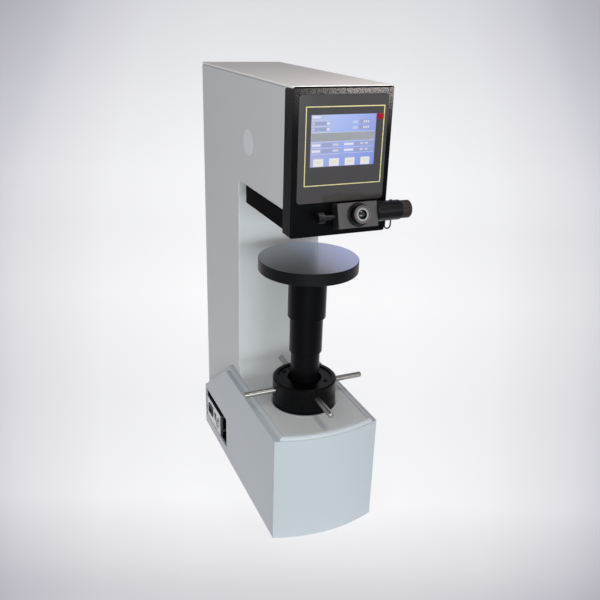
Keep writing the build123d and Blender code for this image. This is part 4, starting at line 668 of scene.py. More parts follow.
@dataclass
class Repeat:
    """Geometry Nodes tree that copies one small shape over a grid of two columns. Sizes in mm and degrees."""

    name: str
    across: float
    rows: int
    up: float
    place: Point
    turn: Point
    columns: int = 2

    def tree(self, finish: Finish) -> Tree:
        """Builds the tree.

        Args:
            finish: the finish that Set Material gives every copy.

        Returns:
            The tree, with named inputs for its sizes.
        """
        tree = bpy.data.node_groups.new(self.name, "GeometryNodeTree")
        for name, kind in (
            ("Copy", "Object"), ("Count", "Int"), ("Rows", "Int"), ("Across", "Float"), ("Up", "Float"),
        ):
            tree.interface.new_socket(name=name, in_out="INPUT", socket_type=f"NodeSocket{kind}")
        tree.interface.new_socket(name="Geometry", in_out="OUTPUT", socket_type="NodeSocketGeometry")
        given = add_node(tree, "NodeGroupInput").outputs
        copy = add_node(tree, "GeometryNodeObjectInfo", {"Object": given["Copy"]})
        points = add_node(tree, "GeometryNodeMeshGrid", {
            "Size X": given["Across"], "Size Y": given["Up"],
            "Vertices X": given["Count"], "Vertices Y": given["Rows"],
        })
        placed = add_node(tree, "GeometryNodeInstanceOnPoints", {
            "Points": points.outputs["Mesh"], "Instance": copy.outputs["Geometry"],
        })
        moved = add_node(tree, "GeometryNodeTransform", {
            "Geometry": placed.outputs["Instances"], "Translation": [c * MM for c in self.place],
            "Rotation": [math.radians(a) for a in self.turn],
        })
        real = add_node(tree, "GeometryNodeRealizeInstances", {"Geometry": moved.outputs["Geometry"]})
        last = add_node(tree, "GeometryNodeSetMaterial", {
            "Geometry": real.outputs["Geometry"], "Material": finish.build(),
        })
        add_node(tree, "NodeGroupOutput", {"Geometry": last.outputs["Geometry"]})
        return tree

    def make(self, shape: Shape, finish: Finish) -> Piece:
        """Makes the copies and turns them into one plain mesh.

        Args:
            shape: the small shape, about its own origin, in mm.
            finish: its finish.

        Returns:
            The finished object.
        """
        source = shape.finish_object()
        holder = bpy.data.objects.new(self.name, bpy.data.meshes.new(self.name))
        bpy.context.scene.collection.objects.link(holder)
        tree = self.tree(finish)
        modifier = holder.modifiers.new("repeat", "NODES")
        modifier.node_group = tree
        values = {"Copy": source, "Count": self.columns, "Rows": self.rows,
                  "Across": self.across * MM, "Up": self.up * MM}
        for item in tree.interface.items_tree:
            if item.in_out == "INPUT":
                modifier[item.identifier] = values[item.name]
        graph = bpy.context.evaluated_depsgraph_get()
        graph.update()
        mesh = bpy.data.meshes.new_from_object(holder.evaluated_get(graph), depsgraph=graph)
        holder.modifiers.clear()
        holder.data = mesh
        mesh.name = self.name
        bpy.data.objects.remove(source)
        return holder


@dataclass
class Smoothing:
    """Live tree on the CAD pieces: joins their loose triangles and shades them smooth between hard edges."""

    weld_mm: float = 0.001
    hard_deg: float = 28.0

    def tree(self) -> Tree:
        """Builds the tree that every CAD piece shares."""
        tree = bpy.data.node_groups.new("cad smoothing", "GeometryNodeTree")
        for way in ("INPUT", "OUTPUT"):
            tree.interface.new_socket(name="Geometry", in_out=way, socket_type="NodeSocketGeometry")
        given = add_node(tree, "NodeGroupInput").outputs
        bare = add_node(tree, "GeometryNodeRemoveAttribute", {
            "Geometry": given["Geometry"], "Name": "custom_normal",
        })
        joined = add_node(tree, "GeometryNodeMergeByDistance", {
            "Geometry": bare.outputs["Geometry"], "Distance": self.weld_mm * MM,
        })
        soft = add_node(tree, "GeometryNodeSetShadeSmooth", {
            "Geometry": joined.outputs["Geometry"],
        }, domain="FACE")
        bend = add_node(tree, "GeometryNodeInputMeshEdgeAngle").outputs["Unsigned Angle"]
        hard = add_node(tree, "FunctionNodeCompare", {
            "A": bend, "B": math.radians(self.hard_deg),
        }, data_type="FLOAT", operation="GREATER_THAN").outputs["Result"]
        crisp = add_node(tree, "GeometryNodeSetShadeSmooth", {
            "Geometry": soft.outputs["Geometry"], "Selection": hard, "Shade Smooth": False,
        }, domain="EDGE")
        add_node(tree, "NodeGroupOutput", {"Geometry": crisp.outputs["Geometry"]})
        return tree

    def dress(self, finishes: dict[str, Finish]) -> None:
        """Gives each CAD piece its finish and its smoothing.

        Args:
            finishes: CAD node name to finish.
        """
        tree = self.tree()
        for name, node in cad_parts.items():
            material = finishes[name].build()
            if not node.data.materials:
                node.data.materials.append(material)
            for slot in node.material_slots:
                slot.link = "OBJECT"
                slot.material = material
            modifier = node.modifiers.new("smoothing", "NODES")
            modifier.node_group = tree
            log.info("%s: %s", name, material.name)


def named(finish: Finish, nodes: str) -> dict[str, Finish]:
    """Returns the finish for each node name in a line of names."""
    return {name: finish for name in nodes.split()}


CAD_FINISHES: dict[str, Finish] = {
    **named(BODY_ENAMEL, "frame_casting foot_casting rear_cover"),
    **named(PLUG_MOULDING, "access_plug"),
    **named(ANVIL_STEEL, "anvil_table"),
    **named(LID_ENAMEL, "top_lid"),
    **named(SHROUD_ENAMEL, "base_shroud"),
    **named(WRINKLE_BLACK, "front_bezel"),
    **named(PANEL_FILM, "overlay_panel"),
    **named(DISPLAY_GLASS, "touch_screen"),
    **named(RED_LENS, "indicator_lens"),
    **named(TRAY_BLACK, "head_skirt connector_tray"),
    **named(BLACK_OXIDE, "top_sleeve middle_sleeve lower_sleeve handwheel_hub hub_screws hanging_ring"),
    **named(CHROME_ROD, "handwheel_rods rear_cover_screws guide_rods main_spindle"),
    **named(PLAIN_STEEL, "elevating_screw screw_key thrust_race load_cell ball_nut ball_screw screw_bearing "
                         "turret_pivot indenter_holder return_spring base_plate power_supply"),
    **named(BRONZE, "lead_nut spindle_bush"),
    **named(ALUMINIUM, "connector_panel crosshead bearing_bridge motor_pulley screw_pulley turret_disc "
                       "data_socket"),
    **named(SHEEN_GREY_ANODISED, "micrometer_block"),
    **named(DRUM_SHEEN_ANODISED, "micrometer_drum"),
    **named(BLACK_ANODISED, "microscope_tube micrometer_sleeve reticle_knob eyepiece_barrel dioptre_ring "
                            "objective prism_housing load_motor"),
    **named(BLACK_PLASTIC, "mains_inlet power_rocker"),
    **named(EYE_GLASS, "eyepiece_lens"),
    **named(RUBBER, "timing_belt"),
    **named(LAMINATE, "control_board"),
    **named(CARBIDE, "indenter_ball"),
}


@dataclass
class HeadTop:
    """Rounded lid on the head, and the lip with which the front housing hides its front edge. Sizes in mm."""

    half: float = 93.0
    front: float = -122.5
    rear: float = 404.0
    seat: float = 894.85
    under: float = 896.5
    top: float = 900.0
    corner_r: float = 3.0
    edge_r: float = 1.2
    foot_in: float = 3.0
    lip_t: float = 2.2
    lip_rise: float = 4.2
    lip_from: float = 888.5
    gap: float = 0.3
    flange_half: float = 80.7
    flange_low: float = 884.0
    flange_t: float = 2.0
    flange_in: float = 0.4
    flange_edge: float = 0.3
    least_r: float = 0.3
    arc_steps: int = 6
    side_face: float = 0.8
    slit: float = 0.1

    def outline(self, inset: float, z: float) -> list[Point]:
        """Returns the lid's rounded outline, drawn in by an inset, at a height."""
        r = max(self.least_r, self.corner_r - inset)
        x, y1 = self.half - inset - r, self.rear - inset - r
        y0 = self.front + self.lip_t + self.gap + inset + r
        return [(cx + r * math.cos(a), cy + r * math.sin(a), z)
                for cx, cy, first in ((x, y1, 0), (-x, y1, 90), (-x, y0, 180), (x, y0, 270))
                for a in (math.radians(first + 90 * i / self.arc_steps) for i in range(self.arc_steps + 1))]

    def lid(self) -> Piece:
        """Makes the lid: upper edge rolled over, foot set in for a dark seam, flange down to the cover."""
        shape = Shape("rolled_lid")
        rings = [self.outline(self.foot_in, self.seat), self.outline(self.foot_in, self.under),
                 self.outline(0.0, self.under)]
        for i in range(self.arc_steps + 1):
            a = math.radians(90 * i / self.arc_steps)
            rings.append(self.outline(self.edge_r * (1 - math.cos(a)),
                                      self.top - self.edge_r * (1 - math.sin(a))))
        shape.stack(rings, LID_ENAMEL)
        shape.bm.normal_update()
        # The rolled edge's steep faces get the pale painted highlight.
        shape.paint([face for face in shape.bm.faces if abs(face.normal.z) < self.side_face
                     and face.calc_center_median().z > self.under], LID_EDGE_HIGHLIGHT)
        back = self.rear - self.flange_in
        shape.box((-self.flange_half, back - self.flange_t, self.flange_low),
                  (self.flange_half, back, self.under), LID_ENAMEL, self.flange_edge)
        piece = shape.finish_object()
        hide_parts("top_lid")
        return seat(piece, Body.FRAME, "body_paint")

    def housing(self) -> Piece:
        """Makes the front housing again, with its front wall raised to a lip before the lid."""
        shape = Shape.copy_of("lipped_housing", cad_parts["front_bezel"], WRINKLE_BLACK)
        back = self.front + self.lip_t
        for y in (back, back + self.slit):
            geometry = [*shape.bm.verts, *shape.bm.edges, *shape.bm.faces]
            bmesh.ops.bisect_plane(shape.bm, geom=geometry, plane_co=(0, y, 0), plane_no=(0, 1, 0), dist=1e-4)
        for v in shape.bm.verts:
            if v.co.z > self.lip_from and v.co.y < back + self.slit / 2:
                v.co.z += self.lip_rise
        piece = shape.finish_object(Smoothing.hard_deg)
        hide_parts("front_bezel")
        return seat(piece, Body.FRAME, "black_crackle")

    def build(self) -> None:
        """Makes both."""
        self.lid()
        self.housing()


@dataclass
class ReticleStem:
    """The reticle knob with an even stem in place of its waisted one. Sizes in mm."""

    axis_y: float = -146.5
    axis_z: float = 685.5
    knob_end: float = -41.0
    block: float = -19.35
    in_block: float = 0.35
    core_r: float = 0.5
    stem_r: float = 4.6
    waist_r: float = 5.0
    collar_r: float = 6.2

    def build(self) -> None:
        """Copies the CAD knob and draws its shaft and collar to one radius outside the block."""
        shape = Shape.copy_of("even_stemmed_knob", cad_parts["reticle_knob"], BLACK_ANODISED)
        for v in shape.bm.verts:
            dy, dz = v.co.y - self.axis_y, v.co.z - self.axis_z
            r = math.hypot(dy, dz)
            least = self.waist_r if v.co.x > self.block - self.in_block else self.core_r
            if v.co.x > self.knob_end - 0.01 and least < r < self.collar_r:
                v.co.y = self.axis_y + dy * self.stem_r / r
                v.co.z = self.axis_z + dz * self.stem_r / r
        bmesh.ops.remove_doubles(shape.bm, verts=shape.bm.verts, dist=0.02)
        piece = shape.finish_object(Smoothing.hard_deg)
        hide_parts("reticle_knob")
        seat(piece, Body.RETICLE, "black_anodised")


@dataclass
class ReturnSpring:
    """Spring under the indenter's head; it shortens as the ram comes down, but this copy keeps the CAD
    spring's length.
    """

    travel: float = 3.05

    def build(self) -> None:
        """Copies the CAD spring, seats it on the turret and gives it a mesh of its own."""
        shape = Shape.copy_of("coiled_spring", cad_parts["return_spring"], PLAIN_STEEL)
        piece = shape.finish_object(Smoothing.hard_deg)
        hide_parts("return_spring")
        seat(piece, Body.TURRET, "steel")
        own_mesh(piece)


@dataclass
class TurningRods:
    """The handwheel's four chromed rods, their outer ends domed. Sizes in mm."""

    rod_r: float = 6.0
    root: float = 46.1
    tip: float = 135.0
    end_r: float = 4.2
    z: float = 278.0
    steps: int = 8

    def build(self) -> None:
        """Turns the rods and sets them round the hub in place of the plain CAD ones."""
        profile = [(0.0, self.root), (self.rod_r, self.root)]
        for i in range(self.steps + 1):
            a = math.pi / 2 * i / self.steps
            profile.append((self.rod_r - self.end_r * (1 - math.cos(a)),
                            self.tip - self.end_r * (1 - math.sin(a))))
        profile.append((0.0, self.tip))
        shape = Shape("chromed_rods")
        for quarter in range(4):
            a = math.pi / 2 * quarter
            shape.lathe(profile, (0.0, 0.0, self.z), (math.cos(a), math.sin(a), 0.0), CHROME_ROD)
        piece = shape.finish_object()
        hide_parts("handwheel_rods")
        seat(piece, Body.HANDWHEEL, "bright_steel")


@dataclass
class PanelOutline:
    """Thin printed line round the display, on the front of the film. Sizes in mm."""

    left: float = -70.5
    right: float = 76.7
    low: float = 735.4
    high: float = 868.0
    width: float = 1.6
    front: float = -123.5
    ink: float = 0.06

    def build(self) -> Piece:
        """Prints the line as four mitred strips."""
        shape = Shape("panel_outline")
        outer, inner = ([
            (self.left + w, self.low + w), (self.right - w, self.low + w),
            (self.right - w, self.high - w), (self.left + w, self.high - w),
        ] for w in (0.0, self.width))
        for i in range(4):
            j = (i + 1) % 4
            corners = [outer[i], outer[j], inner[j], inner[i]]
            shape.plate([(x, self.front, z) for x, z in corners], (0, -self.ink, 0), GOLD_INK)
        return seat(shape.finish_object(), Body.FRAME, "panel_film")


Field = tuple[int, float, float, float, float, Finish]


@dataclass
class DisplayPicture:
    """The lit picture on the display: ground, rows of fields, a band and four buttons.

    Each field says how many films it lies above the ground, its left, right, top and bottom edge in shares of
    the picture, v from the top, and its lit colour. Sizes in mm.
    """

    front: float = -123.0
    step: float = 0.05

    def build(self) -> Piece:
        """Lays out the whole picture."""
        shape = Shape("display_picture")
        (left, right), (low, high) = PICTURE_X, PICTURE_Z
        wide, tall = right - left, high - low
        ground: Field = (0, 0, 1, 0, 1, GLOW_GROUND)
        for layer, u0, u1, v0, v1, finish in (
            ground, *self.status_rows(), *self.value_rows(), *self.band(), *self.buttons(),
        ):
            shape.box((left + u0 * wide, self.front - self.step * (layer + 1), high - v1 * tall),
                      (left + u1 * wide, self.front - self.step * layer, high - v0 * tall), finish)
        return seat(shape.finish_object(), Body.FRAME, "screen_glass")

    def status_rows(self) -> Iterator[Field]:
        """Yields the short white block and two rows at the top left, and two label rows at the top right."""
        yield 1, 0.015, 0.135, 0.025, 0.062, GLOW_WHITE
        for top in (0.105, 0.215):
            yield 1, 0.005, 0.285, top, top + 0.012, GLOW_LILAC
            yield 1, 0.02, 0.27, top + 0.022, top + 0.095, GLOW_SLATE
            yield 2, 0.022, 0.05, top + 0.035, top + 0.08, GLOW_LILAC
            yield 2, 0.235, 0.275, top + 0.035, top + 0.085, GLOW_WHITE
        yield 1, 0.005, 0.285, 0.322, 0.332, GLOW_LILAC
        for top in (0.12, 0.228):
            yield 1, 0.635, 0.71, top + 0.008, top + 0.06, GLOW_LILAC
            yield 1, 0.735, 0.905, top - 0.012, top + 0.072, GLOW_SLATE
            for left in (0.80, 0.834, 0.868):
                yield 2, left, left + 0.02, top + 0.008, top + 0.048, GLOW_WHITE

    def band(self) -> Iterator[Field]:
        """Yields the grey-green band and its pale edges."""
        yield 1, 0.008, 0.62, 0.345, 0.505, GLOW_SAGE
        yield 1, 0.62, 0.985, 0.345, 0.505, GLOW_BAND_END
        yield 2, 0.008, 0.985, 0.334, 0.344, GLOW_LILAC
        yield 2, 0.008, 0.985, 0.508, 0.52, GLOW_LILAC

    def value_rows(self) -> Iterator[Field]:
        """Yields two rows of label and value, twice."""
        for top in (0.55, 0.665):
            yield 1, 0.02, 0.148, top + 0.006, top + 0.05, GLOW_WHITE
            yield 1, 0.165, 0.445, top - 0.012, top + 0.068, GLOW_SLATE
            yield 2, 0.335, 0.43, top + 0.006, top + 0.05, GLOW_LILAC
            yield 1, 0.515, 0.662, top + 0.002, top + 0.046, GLOW_WHITE
            yield 1, 0.675, 0.975, top - 0.014, top + 0.064, GLOW_SLATE
            for left in (0.765, 0.84):
                yield 2, left, left + 0.05, top + 0.002, top + 0.04, GLOW_LILAC
            yield 1, 0.01, 0.47, top + 0.082, top + 0.092, GLOW_LILAC
            yield 1, 0.505, 0.985, top + 0.078, top + 0.088, GLOW_LILAC

    def buttons(self) -> Iterator[Field]:
        """Yields four buttons with a pale green mark on each."""
        for left, right in ((0.048, 0.202), (0.292, 0.445), (0.538, 0.69), (0.785, 0.93)):
            middle = (left + right) / 2
            yield 1, left, right, 0.842, 0.992, GLOW_BUTTON
            yield 2, middle - 0.04, middle + 0.04, 0.90, 0.912, GLOW_LEAF
            yield 2, middle - 0.03, middle + 0.035, 0.93, 0.94, GLOW_LEAF


@dataclass
class EyepieceOptics:
    """What shows in the eyepiece's front: bright bevelled ring, domed eye lens, dark bore. Sizes in mm."""

    centre: Point = (18.9, -158.0, 689.2)
    lean: float = 16.2
    lens_r: float = 8.0
    lens_rim: float = 0.6
    lens_back: float = 11.2
    lens_front: float = 16.2
    ring_front: float = 16.3
    steps: int = 8
    stop_r: float = 3.2
    stop_t: float = 0.4
    stop_gap: float = 0.3

    def axis(self) -> Point:
        """Returns the way that the eyepiece looks."""
        lean = math.radians(self.lean)
        return (0.0, -math.cos(lean), math.sin(lean))

    def lens(self) -> Piece:
        """Makes the domed lens, which stands for the plain CAD disc."""
        shape = Shape("eye_lens")
        rim = self.lens_back + self.lens_rim
        dome = [(0.0, self.lens_back), (self.lens_r, self.lens_back), (self.lens_r, rim)]
        for i in range(1, self.steps + 1):
            a = math.pi / 2 * i / self.steps
            dome.append((self.lens_r * math.cos(a), rim + (self.lens_front - rim) * math.sin(a)))
        shape.lathe(dome, self.centre, self.axis(), EYE_GLASS)
        piece = shape.finish_object()
        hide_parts("eyepiece_lens")
        return seat(piece, Body.EYEPIECE, "lens_glass")

    def bore(self) -> Piece:
        """Makes the matt black stop behind the lens."""
        shape = Shape("eye_stop")
        high = self.lens_back - self.stop_gap
        low = high - self.stop_t
        shape.lathe([(self.stop_r, low), (self.lens_r, low), (self.lens_r, high), (self.stop_r, high)],
                    self.centre, self.axis(), BLACK_PLASTIC)
        return seat(shape.finish_object(), Body.EYEPIECE, "black_anodised")

    def ring(self) -> Piece:
        """Makes the turning ring's machined face: rim, blackened groove, face and bright inner edge."""
        shape = Shape("dioptre_face")
        back = self.ring_front
        # Rim and face take RING_FACE, painted grey as a painted reflection of the light.
        for inner, outer, proud, finish in (
            (14.0, 15.2, 0.05, RING_FACE), (12.8, 14.0, 0.02, BLACK_ANODISED),
            (10.2, 12.8, 0.06, RING_FACE), (8.5, 10.2, 0.07, PLAIN_STEEL),
        ):
            shape.lathe([(inner, back), (outer, back), (outer, back + proud), (inner, back + proud)],
                        self.centre, self.axis(), finish)
        return seat(shape.finish_object(), Body.DIOPTRE, "black_anodised")

    def build(self) -> None:
        """Makes all three."""
        self.lens()
        self.bore()
        self.ring()


@dataclass
class SocketDetail:
    """Contacts and fixings on the socket panel in the left flank. Sizes in mm."""

    face_x: float = -113.0
    inlet: tuple[float, float] = (322.0, 58.0)
    data: tuple[float, float] = (262.0, 52.0)
    switch: tuple[float, float] = (285.0, 58.0)
    blades_at: tuple[tuple[float, float], ...] = ((0.0, 2.6), (-7.0, -1.6), (7.0, -1.6))
    blade_sunk: float = 1.5
    blade_tip: float = 14.5
    blade_half: tuple[float, float] = (1.0, 2.0)
    blade_edge: float = 0.35
    pin_rows: int = 5
    pin_across: float = 2.8
    pin_up: float = 11.0
    pin_out: float = 3.6
    post_up: float = 12.5
    rocker_deg: float = 9.0
    mark_up: float = 5.4
    bar_half: tuple[float, float] = (1.8, 0.3)
    bar_down: float = 5.6

    def blades(self) -> Piece:
        """Makes the inlet's three flat contacts."""
        y, z = self.inlet
        shape = Shape("inlet_blades")
        wide, tall = self.blade_half
        for dy, dz in self.blades_at:
            shape.box((self.face_x + self.blade_sunk, y + dy - wide, z + dz - tall),
                      (self.face_x + self.blade_tip, y + dy + wide, z + dz + tall),
                      PLAIN_STEEL, self.blade_edge)
        return seat(shape.finish_object(), Body.FRAME, "steel")

    def pins(self) -> Piece:
        """Makes the data socket's contacts with a grid tree."""
        pin = Shape("pin")
        pin.lathe([(0, -1.2), (0.5, -1.2), (0.5, 0.9), (0.3, 1.2), (0, 1.2)],
                  (0, 0, 0), (0, 0, 1), CONTACT_GOLD, 16)
        rows = Repeat("data_pins", across=self.pin_across, rows=self.pin_rows, up=self.pin_up,
                      place=(self.face_x - self.pin_out, *self.data), turn=(90.0, 0.0, 90.0))
        return seat(rows.make(pin, CONTACT_GOLD), Body.FRAME, "bright_steel")

    def posts(self) -> Piece:
        """Makes the two hexagonal posts beside the data socket."""
        shape = Shape("jack_posts")
        y, z = self.data
        for dz in (-self.post_up, self.post_up):
            shape.lathe([(1.4, 0.0), (2.6, 0.0), (2.6, 3.6), (2.2, 4.0), (1.4, 4.0)],
                        (self.face_x, y, z + dz), (-1, 0, 0), ZINC, 6)
        return seat(shape.finish_object(20.0), Body.FRAME, "bright_steel")

    def marks(self) -> Piece:
        """Makes the plain on and off marks, a bar and a ring, on the rocker."""
        shape = Shape("rocker_marks")
        y, z = self.switch
        wide, tall = self.bar_half
        shape.box((self.face_x - 0.06, y - wide, z - self.bar_down - tall),
                  (self.face_x + 0.05, y + wide, z - self.bar_down + tall), WHITE_INK)
        lean = math.radians(self.rocker_deg)
        centre = (self.face_x - self.mark_up * math.tan(lean), y, z + self.mark_up)
        shape.lathe([(1.3, -0.05), (1.9, -0.05), (1.9, 0.06), (1.3, 0.06)], centre,
                    (-math.cos(lean), 0.0, -math.sin(lean)), WHITE_INK, 32)
        return seat(shape.finish_object(), Body.SWITCH, "black_plastic")

    def build(self) -> None:
        """Makes all of them."""
        self.blades()
        self.pins()
        self.posts()
        self.marks()


@dataclass
class RearDetail:
    """Hoods over the rear cover's slots and its cross-recess screws. Sizes in mm."""

    back: float = 404.0
    slot_w: float = 56.0
    pitch: float = 12.0
    rows: int = 8
    low: tuple[float, ...] = (330.0, 760.0)
    slot_x: float = 38.0
    screw_x: float = 84.0
    screw_low: float = 252.0
    screw_high: float = 878.0
    head_r: float = 3.6
    head_h: float = 1.8
    hood_over: float = 1.0
    hood_up: float = 1.5
    hood_sunk: float = 0.05

    def hood(self) -> Shape:
        """Returns one pressed hood, open below, about its own origin."""
        shape = Shape("hood")
        outline = [(0.0, 2.6), (0.9, 2.3), (1.7, 1.2), (1.8, -0.6),
                   (1.3, -0.6), (1.2, 1.0), (0.6, 1.9), (0.0, 2.1)]
        half = self.slot_w / 2 + self.hood_over
        shape.plate([(-half, y, z) for y, z in outline], (2 * half, 0, 0), BODY_ENAMEL)
        return shape

    def hoods(self) -> None:
        """Sets a grid of hoods over each bank of slots."""
        height = self.pitch * (self.rows - 1)
        for number, low in enumerate(self.low):
            bank = Repeat(f"louvre_hoods_{number}", across=2 * self.slot_x, rows=self.rows, up=height,
                          place=(0.0, self.back - self.hood_sunk, low + height / 2 + self.hood_up),
                          turn=(90.0, 0.0, 0.0))
            hood = self.hood()
            bmesh.ops.rotate(hood.bm, verts=hood.bm.verts, cent=(0, 0, 0),
                             matrix=Matrix.Rotation(-math.pi / 2, 3, "X"))
            seat(bank.make(hood, BODY_ENAMEL), Body.FRAME, "body_paint")

    def screw(self) -> Shape:
        """Returns one domed screw head with a cross recess, about its own origin, looking along +Z."""
        shape = Shape("screw_head")
        r, h = self.head_r, self.head_h
        dome = [(0.0, 0.0), (r, 0.0), (r, 0.5 * h), (0.86 * r, 0.8 * h), (0.55 * r, 0.96 * h)]
        shape.lathe([*dome, (0.52 * r, h), (0.0, h)], (0, 0, 0), (0, 0, 1), ZINC, 32)
        for wide, deep in ((0.38 * r, 0.10 * r), (0.10 * r, 0.38 * r)):
            shape.box((-wide, -deep, h - 0.02), (wide, deep, h + 0.012), RECESS_SHADE)
        return shape

    def screws(self) -> None:
        """Sets eight heads in place of the plain CAD ones."""
        height = self.screw_high - self.screw_low
        grid = Repeat("cover_screw_heads", across=2 * self.screw_x, rows=4, up=height,
                      place=(0.0, self.back, self.screw_low + height / 2), turn=(-90.0, 0.0, 0.0))
        heads = grid.make(self.screw(), ZINC)
        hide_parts("rear_cover_screws")
        seat(heads, Body.FRAME, "bright_steel")

    def build(self) -> None:
        """Makes the hoods and the heads."""
        self.hoods()
        self.screws()


@dataclass
class Studio:
    """White paper sweep, soft lamps, plain world and the camera. Lengths are in metres."""

    eye: Point = (-0.54919, -1.20210, 1.01288)
    yaw: float = 23.926
    pitch: float = -22.293
    roll: float = 1.798
    lens: float = 42.444
    sensor: float = 36.0
    wall: float = 4.0
    cove: float = 0.6
    cove_steps: int = 12
    half: float = 14.0
    near: float = -12.0
    high: float = 7.0
    own_light: float = 0.8
    paper_glow: float = 1.17
    paper_bounce: float = 0.6
    sky: str = "#F6F6F8"
    zenith: float = 0.15
    zenith_from: float = 0.9
    horizon: float = 1.3
    depth_span: float = 8.0
    spread_per_m: float = 0.42
    spread_at_lens: float = 0.14
    spread_drop: float = -0.5
    spread_least: float = 0.2
    side_span: float = 1.5
    depth_stops: Stops = (
        (0.127, "#CFCED3"), (0.138, "#DFDEE1"), (0.161, "#F3F3F5"), (0.216, "#F1F1F3"), (0.309, "#F8F8F9"),
        (0.499, "#F0F0F2"), (0.57, "#E7E7EA"), (0.63, "#D8D8DC"), (0.75, "#C4C4CA"), (0.875, "#B9B8C0"),
    )
    side_stops: Stops = (
        (0.227, "#FFFFFF"), (0.42, "#F8F8F9"), (0.6, "#E7E6EA"), (0.667, "#DAD9DE"), (0.867, "#C4C3C9"),
    )

    def camera(self) -> None:
        """Sets the camera where the photograph was taken from."""
        yaw, pitch, roll = (math.radians(a) for a in (self.yaw, self.pitch, self.roll))
        ahead = Vector((math.sin(yaw) * math.cos(pitch), math.cos(yaw) * math.cos(pitch), math.sin(pitch)))
        right = Vector((math.cos(yaw), -math.sin(yaw), 0.0))
        up = right.cross(ahead)
        level = right * math.cos(roll) + up * math.sin(roll)
        upright = up * math.cos(roll) - right * math.sin(roll)
        data = bpy.data.cameras.new("camera")
        data.lens, data.sensor_width = self.lens, self.sensor
        data.clip_start, data.clip_end = 0.02, 200.0
        made = bpy.data.objects.new("camera", data)
        turn = Matrix((level, upright, -ahead)).transposed().to_4x4()
        made.matrix_world = Matrix.Translation(Vector(self.eye)) @ turn
        bpy.context.scene.collection.objects.link(made)
        bpy.context.scene.camera = made

    def seen(self, tree: Tree) -> Socket:
        """Returns a factor that is 1 for camera, glossy and transmitted rays."""
        path = add_node(tree, "ShaderNodeLightPath").outputs
        factor = path["Is Camera Ray"]
        for name in ("Is Glossy Ray", "Is Transmission Ray"):
            factor = add_node(tree, "ShaderNodeMath", {0: factor, 1: path[name]},
                              operation="MAXIMUM").outputs[0]
        return factor

    def shade(self, tree: Tree) -> Socket:
        """Returns the sweep's painted pool of light: whitest round the object, greyer near, high up and to
        the sides.
        """
        where = add_node(tree, "ShaderNodeTexCoord").outputs["Object"]
        moved = add_node(tree, "ShaderNodeVectorMath", {
            0: where, 1: (-self.eye[0], -self.eye[1], 0.0),
        }, operation="ADD")
        spun = add_node(tree, "ShaderNodeVectorRotate", {
            "Vector": moved.outputs[0], "Angle": math.radians(self.yaw),
        }, rotation_type="Z_AXIS")
        parts = add_node(tree, "ShaderNodeSeparateXYZ", {"Vector": spun.outputs["Vector"]}).outputs
        along = add_node(tree, "ShaderNodeMath", {0: parts["Y"], 1: parts["Z"]}, operation="ADD").outputs[0]
        side = add_node(tree, "ShaderNodeMath", {0: parts["X"]}, operation="ABSOLUTE").outputs[0]
        reach = add_node(tree, "ShaderNodeMath", {
            0: parts["Y"], 1: self.spread_per_m, 2: self.spread_at_lens,
        }, operation="MULTIPLY_ADD").outputs[0]
        wide = add_node(tree, "ShaderNodeMath", {0: parts["Z"], 1: self.spread_drop, 2: reach},
                        operation="MULTIPLY_ADD").outputs[0]
        held = add_node(tree, "ShaderNodeMath", {0: wide, 1: self.spread_least},
                        operation="MAXIMUM").outputs[0]
        ratio = add_node(tree, "ShaderNodeMath", {0: side, 1: held}, operation="DIVIDE").outputs[0]
        depth, sides = (set_stops(add_node(tree, "ShaderNodeValToRGB", {
            "Fac": add_node(tree, "ShaderNodeMapRange", {
                "Value": source, "From Max": span,
            }).outputs["Result"],
        }), stops) for source, span, stops in (
            (along, self.depth_span, self.depth_stops), (ratio, self.side_span, self.side_stops),
        ))
        both = add_node(tree, "ShaderNodeMix", {"Factor": 1.0, 6: depth, 7: sides}, data_type="RGBA",
                        blend_type="MULTIPLY")
        return both.outputs[2]

    def sweep(self) -> None:
        """Hangs the paper: flat under the object, rolled up behind it, partly lit from within when seen."""
        line = [(self.near, 0.0), (self.wall - self.cove, 0.0)]
        for i in range(1, self.cove_steps + 1):
            a = math.radians(90 * i / self.cove_steps)
            line.append((self.wall - self.cove * (1 - math.sin(a)), self.cove * (1 - math.cos(a))))
        line.append((self.wall, self.high))
        yaw = math.radians(self.yaw)
        shape = Shape("floor")
        rows = []
        for s, z in line:
            rows.append([shape.bm.verts.new(Vector((
                self.eye[0] + s * math.sin(yaw) + u * math.cos(yaw),
                self.eye[1] + s * math.cos(yaw) - u * math.sin(yaw), z,
            )) / MM) for u in (-self.half, self.half)])
        shape.paint([shape.bm.faces.new([low[0], low[1], high[1], high[0]])
                     for low, high in zip(rows, rows[1:])], SWEEP_PAINT)
        made = shape.finish_object()
        tree = made.data.materials[0].node_tree
        shader = next(n for n in tree.nodes if n.type == "BSDF_PRINCIPLED")
        out = next(n for n in tree.nodes if n.type == "OUTPUT_MATERIAL")
        colour = self.shade(tree)
        seen = self.seen(tree)
        dimmed = add_node(tree, "ShaderNodeMapRange", {"Value": seen, "To Min": self.paper_bounce})
        paint = add_node(tree, "ShaderNodeVectorMath", {0: colour, "Scale": dimmed.outputs["Result"]},
                         operation="SCALE")
        tree.links.new(paint.outputs[0], shader.inputs["Base Color"])
        glow = add_node(tree, "ShaderNodeEmission", {"Color": colour, "Strength": self.paper_glow})
        share = add_node(tree, "ShaderNodeMath", {0: seen, 1: self.own_light}, operation="MULTIPLY")
        mixed = add_node(tree, "ShaderNodeMixShader", {
            0: share.outputs[0], 1: shader.outputs["BSDF"], 2: glow.outputs["Emission"],
        })
        tree.links.new(mixed.outputs[0], out.inputs["Surface"])

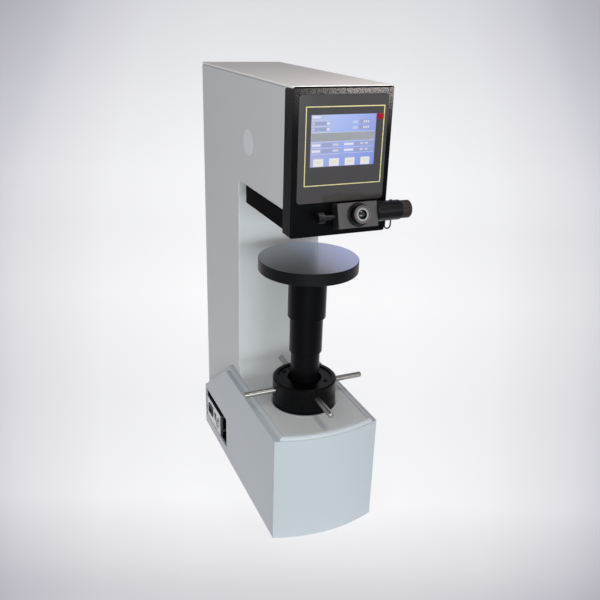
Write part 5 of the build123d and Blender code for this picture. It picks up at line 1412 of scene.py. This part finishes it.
    def world(self) -> None:
        """Sets a plain pale world, brighter along the horizon than overhead."""
        world = bpy.data.worlds.new("pale studio")
        world.use_nodes = True
        bpy.context.scene.world = world
        tree = world.node_tree
        tree.nodes.clear()
        way = add_node(tree, "ShaderNodeTexCoord").outputs["Generated"]
        rise = add_node(tree, "ShaderNodeSeparateXYZ", {"Vector": way}).outputs["Z"]
        level = add_node(tree, "ShaderNodeMapRange", {
            "Value": rise, "From Max": self.zenith_from, "To Min": self.horizon, "To Max": self.zenith,
        })
        ground = add_node(tree, "ShaderNodeBackground", {
            "Color": linear(self.sky), "Strength": level.outputs["Result"],
        })
        add_node(tree, "ShaderNodeOutputWorld", {"Surface": ground.outputs["Background"]})

    def lamp(self, name: str, place: Point, aim: Point, size: tuple[float, float], power: float,
             colour: str) -> None:
        """Adds one soft lamp.

        Args:
            name: its name.
            place: where it hangs, in metres.
            aim: the point that it faces.
            size: its width and height in metres.
            power: its power in watts.
            colour: its sRGB hex colour.
        """
        data = bpy.data.lights.new(name, "AREA")
        data.shape = "RECTANGLE"
        data.size, data.size_y = size
        data.energy = power
        data.color = linear(colour)[:3]
        made = bpy.data.objects.new(name, data)
        made.location = place
        made.rotation_euler = (Vector(aim) - Vector(place)).to_track_quat("-Z", "Y").to_euler()
        bpy.context.scene.collection.objects.link(made)

    def build(self) -> None:
        """Sets up the whole studio."""
        bpy.context.scene.view_settings.view_transform = "Standard"
        self.camera()
        self.sweep()
        self.world()
        self.lamp("front softbox", (-0.5, -4.4, 0.75), (0.0, 0.0, 0.45), (4.4, 1.4), 109.0, "#E9F8FC")
        self.lamp("side softbox", (-1.7, -1.3, 1.55), (0.0, 0.15, 0.9), (1.0, 1.0), 8.5, "#FFFFFF")
        self.lamp("head lamp", (0.15, -0.4, 1.25), (0.05, -0.05, 0.9), (0.2, 0.2), 2.2, "#FFF9F4")


def main() -> None:
    """Builds the studio and dresses the tester, piece by piece."""
    Studio().build()
    Smoothing().dress(CAD_FINISHES)
    HeadTop().build()
    TurningRods().build()
    ReticleStem().build()
    ReturnSpring().build()
    PanelOutline().build()
    DisplayPicture().build()
    EyepieceOptics().build()
    SocketDetail().build()
    RearDetail().build()


if __name__ == "__main__":
    main()
